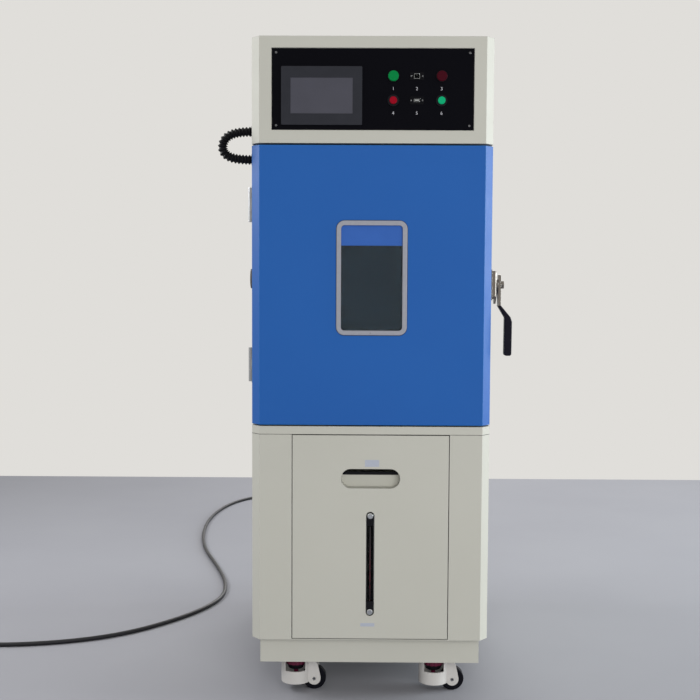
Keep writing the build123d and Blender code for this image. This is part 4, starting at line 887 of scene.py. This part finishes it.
def screenInk():
    material, tree, shader, place = newMaterial("screenPrintInk")
    base = mottle(tree, place, numbers["speck"], 2, numbers["ink"], numbers["thin"])[0]
    fillSockets(tree, shader, {"Base Color": base, "Roughness": numbers["roughness"]})
    return material


def buildNumbers(shape):
    count = 0
    for z in numbers["rows"]:
        for x in numbers["columns"]:
            count += 1
            text = bpy.data.curves.new("figure", "FONT")
            text.body = str(count)
            text.size = numbers["size"]
            text.align_x = "CENTER"
            text.align_y = "CENTER"
            text.extrude = numbers["thick"]
            figure = addObject("figure", text)
            mesh = plainMesh(figure)
            face = panelLow.y - numbers["thick"]
            mesh.transform(Matrix.Translation((x, face, z)) @ Matrix.Rotation(math.pi / 2, 4, "X"))
            shape.from_mesh(mesh)
            bpy.data.objects.remove(figure)


addPiece("panelNumbers", meshFrom("panelNumbers", buildNumbers, False), screenInk(), "cabinet")

# Metal shields of the two sockets, with the contacts in the network socket and the tongue in the other
shield = {"wall": 0.0006, "proud": 0.0005, "network": (0.013, 0.011), "serial": (0.0135, 0.006)}
contacts = {
    "count": 8, "start": -0.0036, "pitch": 0.00102, "half": 0.00015,
    "depth": (0.006, 0.012), "height": (0.0030, 0.0036),
}


def buildShields(shape):
    face, back, wall = socketsLow.y - shield["proud"], socketsLow.y, shield["wall"]
    for z, (width, height) in zip(lampRows, (shield["network"], shield["serial"])):
        left, right = socketX - width / 2, socketX + width / 2
        bottom, top = z - height / 2, z + height / 2
        addBlock(shape, (left - wall, face, bottom - wall), (right + wall, back, bottom))
        addBlock(shape, (left - wall, face, top), (right + wall, back, top + wall))
        addBlock(shape, (left - wall, face, bottom), (left, back, top))
        addBlock(shape, (right, face, bottom), (right + wall, back, top))
    front, rear = (face + depth for depth in contacts["depth"])
    low, high = (lampRows[0] + height for height in contacts["height"])
    for i in range(contacts["count"]):
        x = socketX + contacts["start"] + contacts["pitch"] * i
        addBlock(shape, (x - contacts["half"], front, low), (x + contacts["half"], rear, high))


shields = meshFrom("socketShields", buildShields, False)
addPiece("socketShields", shields, brightChrome, "cabinet")

tongue = {"half": 0.0055, "depth": (0.001, 0.013), "height": (0.0003, 0.0020)}


def buildTongue(shape):
    front, back = (socketsLow.y + depth for depth in tongue["depth"])
    low, high = (lampRows[1] + height for height in tongue["height"])
    addBlock(shape, (socketX - tongue["half"], front, low), (socketX + tongue["half"], back, high))


tongueMesh = meshFrom("serialTongue", buildTongue, False)
addPiece("serialTongue", tongueMesh, tankPlastic, "cabinet")

# Red float line inside the level gauge, dull and broken up, redder low down
thread = {
    "radius": 0.0012, "sides": 14, "margin": 0.003, "setback": 0.0009, "low": 0.26, "high": 0.44,
    "red": "#6E1426", "faded": "#3A3438", "gap": "#2C282C", "patch": 0.012, "whole": 0.45, "broken": 0.6,
    "roughness": 0.35,
}


def threadRed():
    material, tree, shader, place = newMaterial("redGlassThread")
    spots = addNode(tree, "ShaderNodeTexNoise", {"Vector": place, "Scale": 1 / thread["patch"], "Detail": 3})
    patchy = addNode(tree, "ShaderNodeMapRange", {
        "Value": spots, "From Min": thread["whole"], "From Max": thread["broken"],
    })
    height = addNode(tree, "ShaderNodeSeparateXYZ", {"Vector": place}, "Z")
    up = addNode(tree, "ShaderNodeMapRange", {
        "Value": height, "From Min": thread["low"], "From Max": thread["high"],
    })
    red = addNode(tree, "ShaderNodeMix", {0: up, 6: thread["red"], 7: thread["faded"]}, 2, data_type="RGBA")
    base = addNode(tree, "ShaderNodeMix", {0: patchy, 6: red, 7: thread["gap"]}, 2, data_type="RGBA")
    fillSockets(tree, shader, {"Base Color": base, "Roughness": thread["roughness"]})
    return material


def buildThread(shape):
    low, high = box("gauge_tube")
    centre = ((low.x + high.x) / 2, low.y - thread["setback"], low.z + thread["margin"])
    profile = [(0, thread["radius"]), (high.z - low.z - 2 * thread["margin"], thread["radius"])]
    addTurned(shape, profile, centre, (0, 0, 1), thread["sides"])


addPiece("gaugeThread", meshFrom("gaugeThread", buildThread), threadRed(), "drawer")

# Two blank adhesive labels on the drawer, above the pull and under the gauge
labels = {
    "places": ((0.004, 0.630, 0.037, 0.018), (-0.006, 0.203, 0.037, 0.009)), "thick": 0.0002,
    "corner": 0.0012, "steps": 4, "film": "#B4B9C4", "shade": "#A9AFBC", "speck": 0.004, "roughness": 0.6,
}


def labelFilm():
    material, tree, shader, place = newMaterial("labelFilm")
    base = mottle(tree, place, labels["speck"], 3, labels["film"], labels["shade"])[0]
    fillSockets(tree, shader, {"Base Color": base, "Roughness": labels["roughness"]})
    return material


def buildLabels(shape):
    face = box("drawer_front")[0].y
    for x, z, width, height in labels["places"]:
        rings = []
        for depth in (0, -labels["thick"]):
            loop = roundedLoop(width / 2, height / 2, labels["corner"], labels["steps"])
            rings.append([shape.verts.new(Vector((x, face + depth, z)) + point) for point, out in loop])
        shape.faces.new(rings[0])
        shape.faces.new(rings[1][::-1])
        joinRings(shape, *rings)


addPiece("drawerLabels", meshFrom("drawerLabels", buildLabels, False), labelFilm(), "drawer")

# Sealing strip in the joint between the lower casing and the rail, a dark hairline round the front
seam = {"height": 0.0011, "proud": 0.00012, "inset": 0.021, "back": 0.024, "wrap": 0.030, "middle": 0.3}


def buildSeam(shape):
    low, high = box("lower_casing")
    back = low.y + seam["back"]
    route = [
        (low.x, back + seam["wrap"]), (low.x, back), (low.x + seam["inset"], low.y),
        (high.x - seam["inset"], low.y), (high.x, back), (high.x, back + seam["wrap"]),
    ]
    middle = Vector((0, low.y + seam["middle"]))
    rings = []
    for x, y in route:
        away = (Vector((x, y)) - middle).normalized() * seam["proud"]
        ring = []
        for out, up in ((-1, -1), (1, -1), (1, 1), (-1, 1)):
            z = high.z + up * seam["height"] / 2
            ring.append(shape.verts.new((x + out * away.x, y + out * away.y, z)))
        rings.append(ring)
    for first, second in zip(rings, rings[1:]):
        joinRings(shape, first, second)
    shape.faces.new(rings[0][::-1])
    shape.faces.new(rings[-1])


addPiece("casingSeam", meshFrom("casingSeam", buildSeam, False), fittingPlastic, "cabinet")

# Ribbed black sleeve under each thumbwheel, painted shade that darkens the lower part of the window of the
# caster's cup
cupShade = {
    "low": 0.0566, "high": 0.0698, "foot": 0.0195, "top": 0.0250, "groove": 0.0014, "ribs": 4,
    "bore": 0.0062, "sides": 40,
}


def buildBoot(shape, x, y):
    tall = cupShade["high"] - cupShade["low"]
    profile = [(0, cupShade["bore"])]
    for i in range(2 * cupShade["ribs"] + 1):
        share = i / (2 * cupShade["ribs"])
        crest = cupShade["foot"] + (cupShade["top"] - cupShade["foot"]) * share
        profile.append((share * tall, crest if i % 2 else crest - cupShade["groove"]))
    profile.append((tall, cupShade["bore"]))
    addTurned(shape, profile, (x, y, cupShade["low"]), (0, 0, 1), cupShade["sides"], closed=True)


for corner in casterNames:
    low, high = box(corner + "_caster_foot")
    x, y = (low.x + high.x) / 2, (low.y + high.y) / 2
    name = corner + "CasterCupShade"
    cupShades = meshFrom(name, lambda shape: buildBoot(shape, x, y))
    # Painted shade inside the cup's window
    addPiece(name, cupShades, fittingPlastic, corner + "_foot_body")

# Round the rubber frame where it meets the door skin, a dark line of painted shadow under its lip, and the
# butt joint at the frame's foot
lipShadow = {"wide": 0.0011, "proud": 0.0004, "inside": 0.001, "corner": 0.021}
butt = {"x": -0.003, "wide": 0.0007, "rise": 0.0035, "height": 0.0045, "proud": 0.00015, "deep": 0.001}


def buildJoint(shape):
    low, high = box("window_frame")
    face = box("door_skin")[0].y
    centre = ((low.x + high.x) / 2, face, (low.z + high.z) / 2)
    size = (high.x - low.x, high.z - low.z)
    inside, proud, wide = lipShadow["inside"], lipShadow["proud"], lipShadow["wide"]
    profile = [(-inside, 0), (-inside, -proud), (wide, -proud), (wide, 0)]
    # Painted shadow of the rubber lip: a dark line round the frame
    addSweptFrame(shape, centre, size, lipShadow["corner"], profile)
    left, right = butt["x"] - butt["wide"] / 2, butt["x"] + butt["wide"] / 2
    bottom = low.z + butt["rise"]
    addBlock(
        shape, (left, low.y - butt["proud"], bottom), (right, low.y + butt["deep"], bottom + butt["height"])
    )


addPiece("frameLipShadowAndButt", meshFrom("frameLipShadowAndButt", buildJoint, False), fittingPlastic, "door")

# Black strip along the upper edge of the scoop's back, over the finger opening: painted shade of the dark gap
# there
pullShade = {"half": 0.0725, "low": 0.0055, "high": 0.0135, "centre": 0.5895, "deep": 0.030, "thick": 0.0012}


def buildEdging(shape):
    back = box("drawer_front")[0].y + pullShade["deep"]
    low = (-pullShade["half"], back - pullShade["thick"], pullShade["centre"] + pullShade["low"])
    high = (pullShade["half"], back + pullShade["thick"], pullShade["centre"] + pullShade["high"])
    addBlock(shape, low, high)


addPiece("pullShadeStrip", meshFrom("pullShadeStrip", buildEdging, False), fittingPlastic, "drawer")

# Ribbed screw cap on the water tank's neck
cap = {
    "x": 0.102, "y": -0.305, "sunk": 0.010, "radius": 0.039, "height": 0.022, "chamfer": 0.003,
    "ribs": 36, "rib": 0.0009, "plainTop": 0.001,
}


def buildCap(shape):
    high = box("water_tank")[1]
    origin = Vector((cap["x"], cap["y"], high.z - cap["sunk"]))
    shoulder = (cap["height"] - cap["chamfer"], cap["radius"])
    profile = [(0, cap["radius"]), shoulder, (cap["height"], cap["radius"] - cap["chamfer"])]
    addTurned(shape, profile, origin, (0, 0, 1), 4 * cap["ribs"])
    for vertex in shape.verts:
        arm = Vector((vertex.co.x - origin.x, vertex.co.y - origin.y))
        if vertex.co.z < origin.z + cap["height"] - cap["plainTop"]:
            wave = math.cos(cap["ribs"] * math.atan2(arm.y, arm.x))
            arm = arm.normalized() * (cap["radius"] + cap["rib"] * wave)
            vertex.co.x, vertex.co.y = origin.x + arm.x, origin.y + arm.y


addPiece("tankCap", meshFrom("tankCap", buildCap, False), fittingPlastic, "drawer")
print("trim made")

# Pale floor that ends under a pale backdrop, with soft light, stronger from the right
studio = {
    "floorSize": (8.0, 7.0), "floorEnd": 2.77, "floor": "#A2A2A7", "floorShade": "#98989E",
    "clouds": 0.7, "roughness": 0.75, "gloss": 0.15, "wall": "#E0DEDA", "worldStrength": 0.40,
}
lamps = {
    "rightWindow": {
        "at": (4.5, 0.1, 1.6), "aim": (0, 0, 0.9), "size": 2.4, "power": 185, "colour": "#F1FAFF",
    },
    "leftFill": {"at": (-2.8, 0.1, 2.2), "aim": (0, 0, 1.5), "size": 1.4, "power": 58, "colour": "#FAFCFF"},
    "frontFill": {"at": (0.9, -4.4, 1.5), "aim": (0, 0, 0.7), "size": 3.0, "power": 98, "colour": "#FFFFFF"},
    "rearFill": {"at": (0.8, 4.2, 3.0), "aim": (0, 0, 0.9), "size": 3.0, "power": 100, "colour": "#FFFFFF"},
    "chamberLamp": {
        "at": (0, -0.28, 1.35), "aim": (0, -0.1, 0.9), "size": 0.06, "power": 0.07, "colour": "#DCEAFF",
    },
}


def buildFloor(shape):
    half, long = studio["floorSize"][0] / 2, studio["floorSize"][1]
    end = studio["floorEnd"]
    corners = ((-half, end - long, 0), (half, end - long, 0), (half, end, 0), (-half, end, 0))
    shape.faces.new([shape.verts.new(corner) for corner in corners])


def makeFloor():
    material, tree, shader, place = newMaterial("paleFloor")
    base = mottle(tree, place, studio["clouds"], 4, studio["floor"], studio["floorShade"])[0]
    fillSockets(tree, shader, {
        "Base Color": base, "Roughness": studio["roughness"], "Specular IOR Level": studio["gloss"],
    })
    floor = addObject("floor", meshFrom("floor", buildFloor, False))
    floor.data.materials.append(material)


# The wall's colour shows to the camera, in mirrors and through glass. The world lights at its own level.
def makeWorld():
    world = bpy.data.worlds.new("studio")
    bpy.context.scene.world = world
    world.use_nodes = True
    tree = world.node_tree
    rays = tree.nodes.new("ShaderNodeLightPath")
    seen = rays.outputs["Is Camera Ray"]
    for ray in ("Is Glossy Ray", "Is Transmission Ray"):
        seen = addNode(tree, "ShaderNodeMath", {0: seen, 1: rays.outputs[ray]}, operation="MAXIMUM")
    light = addNode(tree, "ShaderNodeBackground", {"Color": "#FFFFFF", "Strength": studio["worldStrength"]})
    wall = addNode(tree, "ShaderNodeBackground", {"Color": studio["wall"], "Strength": 1})
    mix = addNode(tree, "ShaderNodeMixShader", {0: seen, 1: light, 2: wall})
    tree.links.new(mix, tree.nodes["World Output"].inputs["Surface"])


def makeLamps():
    for name, lamp in lamps.items():
        data = bpy.data.lights.new(name, "AREA")
        data.shape = "SQUARE"
        data.size = lamp["size"]
        data.energy = lamp["power"]
        data.color = hexColour(lamp["colour"])[:3]
        light = addObject(name, data)
        light.visible_camera = False
        light.visible_glossy = name != "frontFill"
        light.location = lamp["at"]
        aim = Vector(lamp["aim"]) - Vector(lamp["at"])
        light.rotation_euler = aim.to_track_quat("-Z", "Y").to_euler()


makeFloor()
makeWorld()
makeLamps()
bpy.context.scene.view_settings.view_transform = "Standard"
print("studio lit")
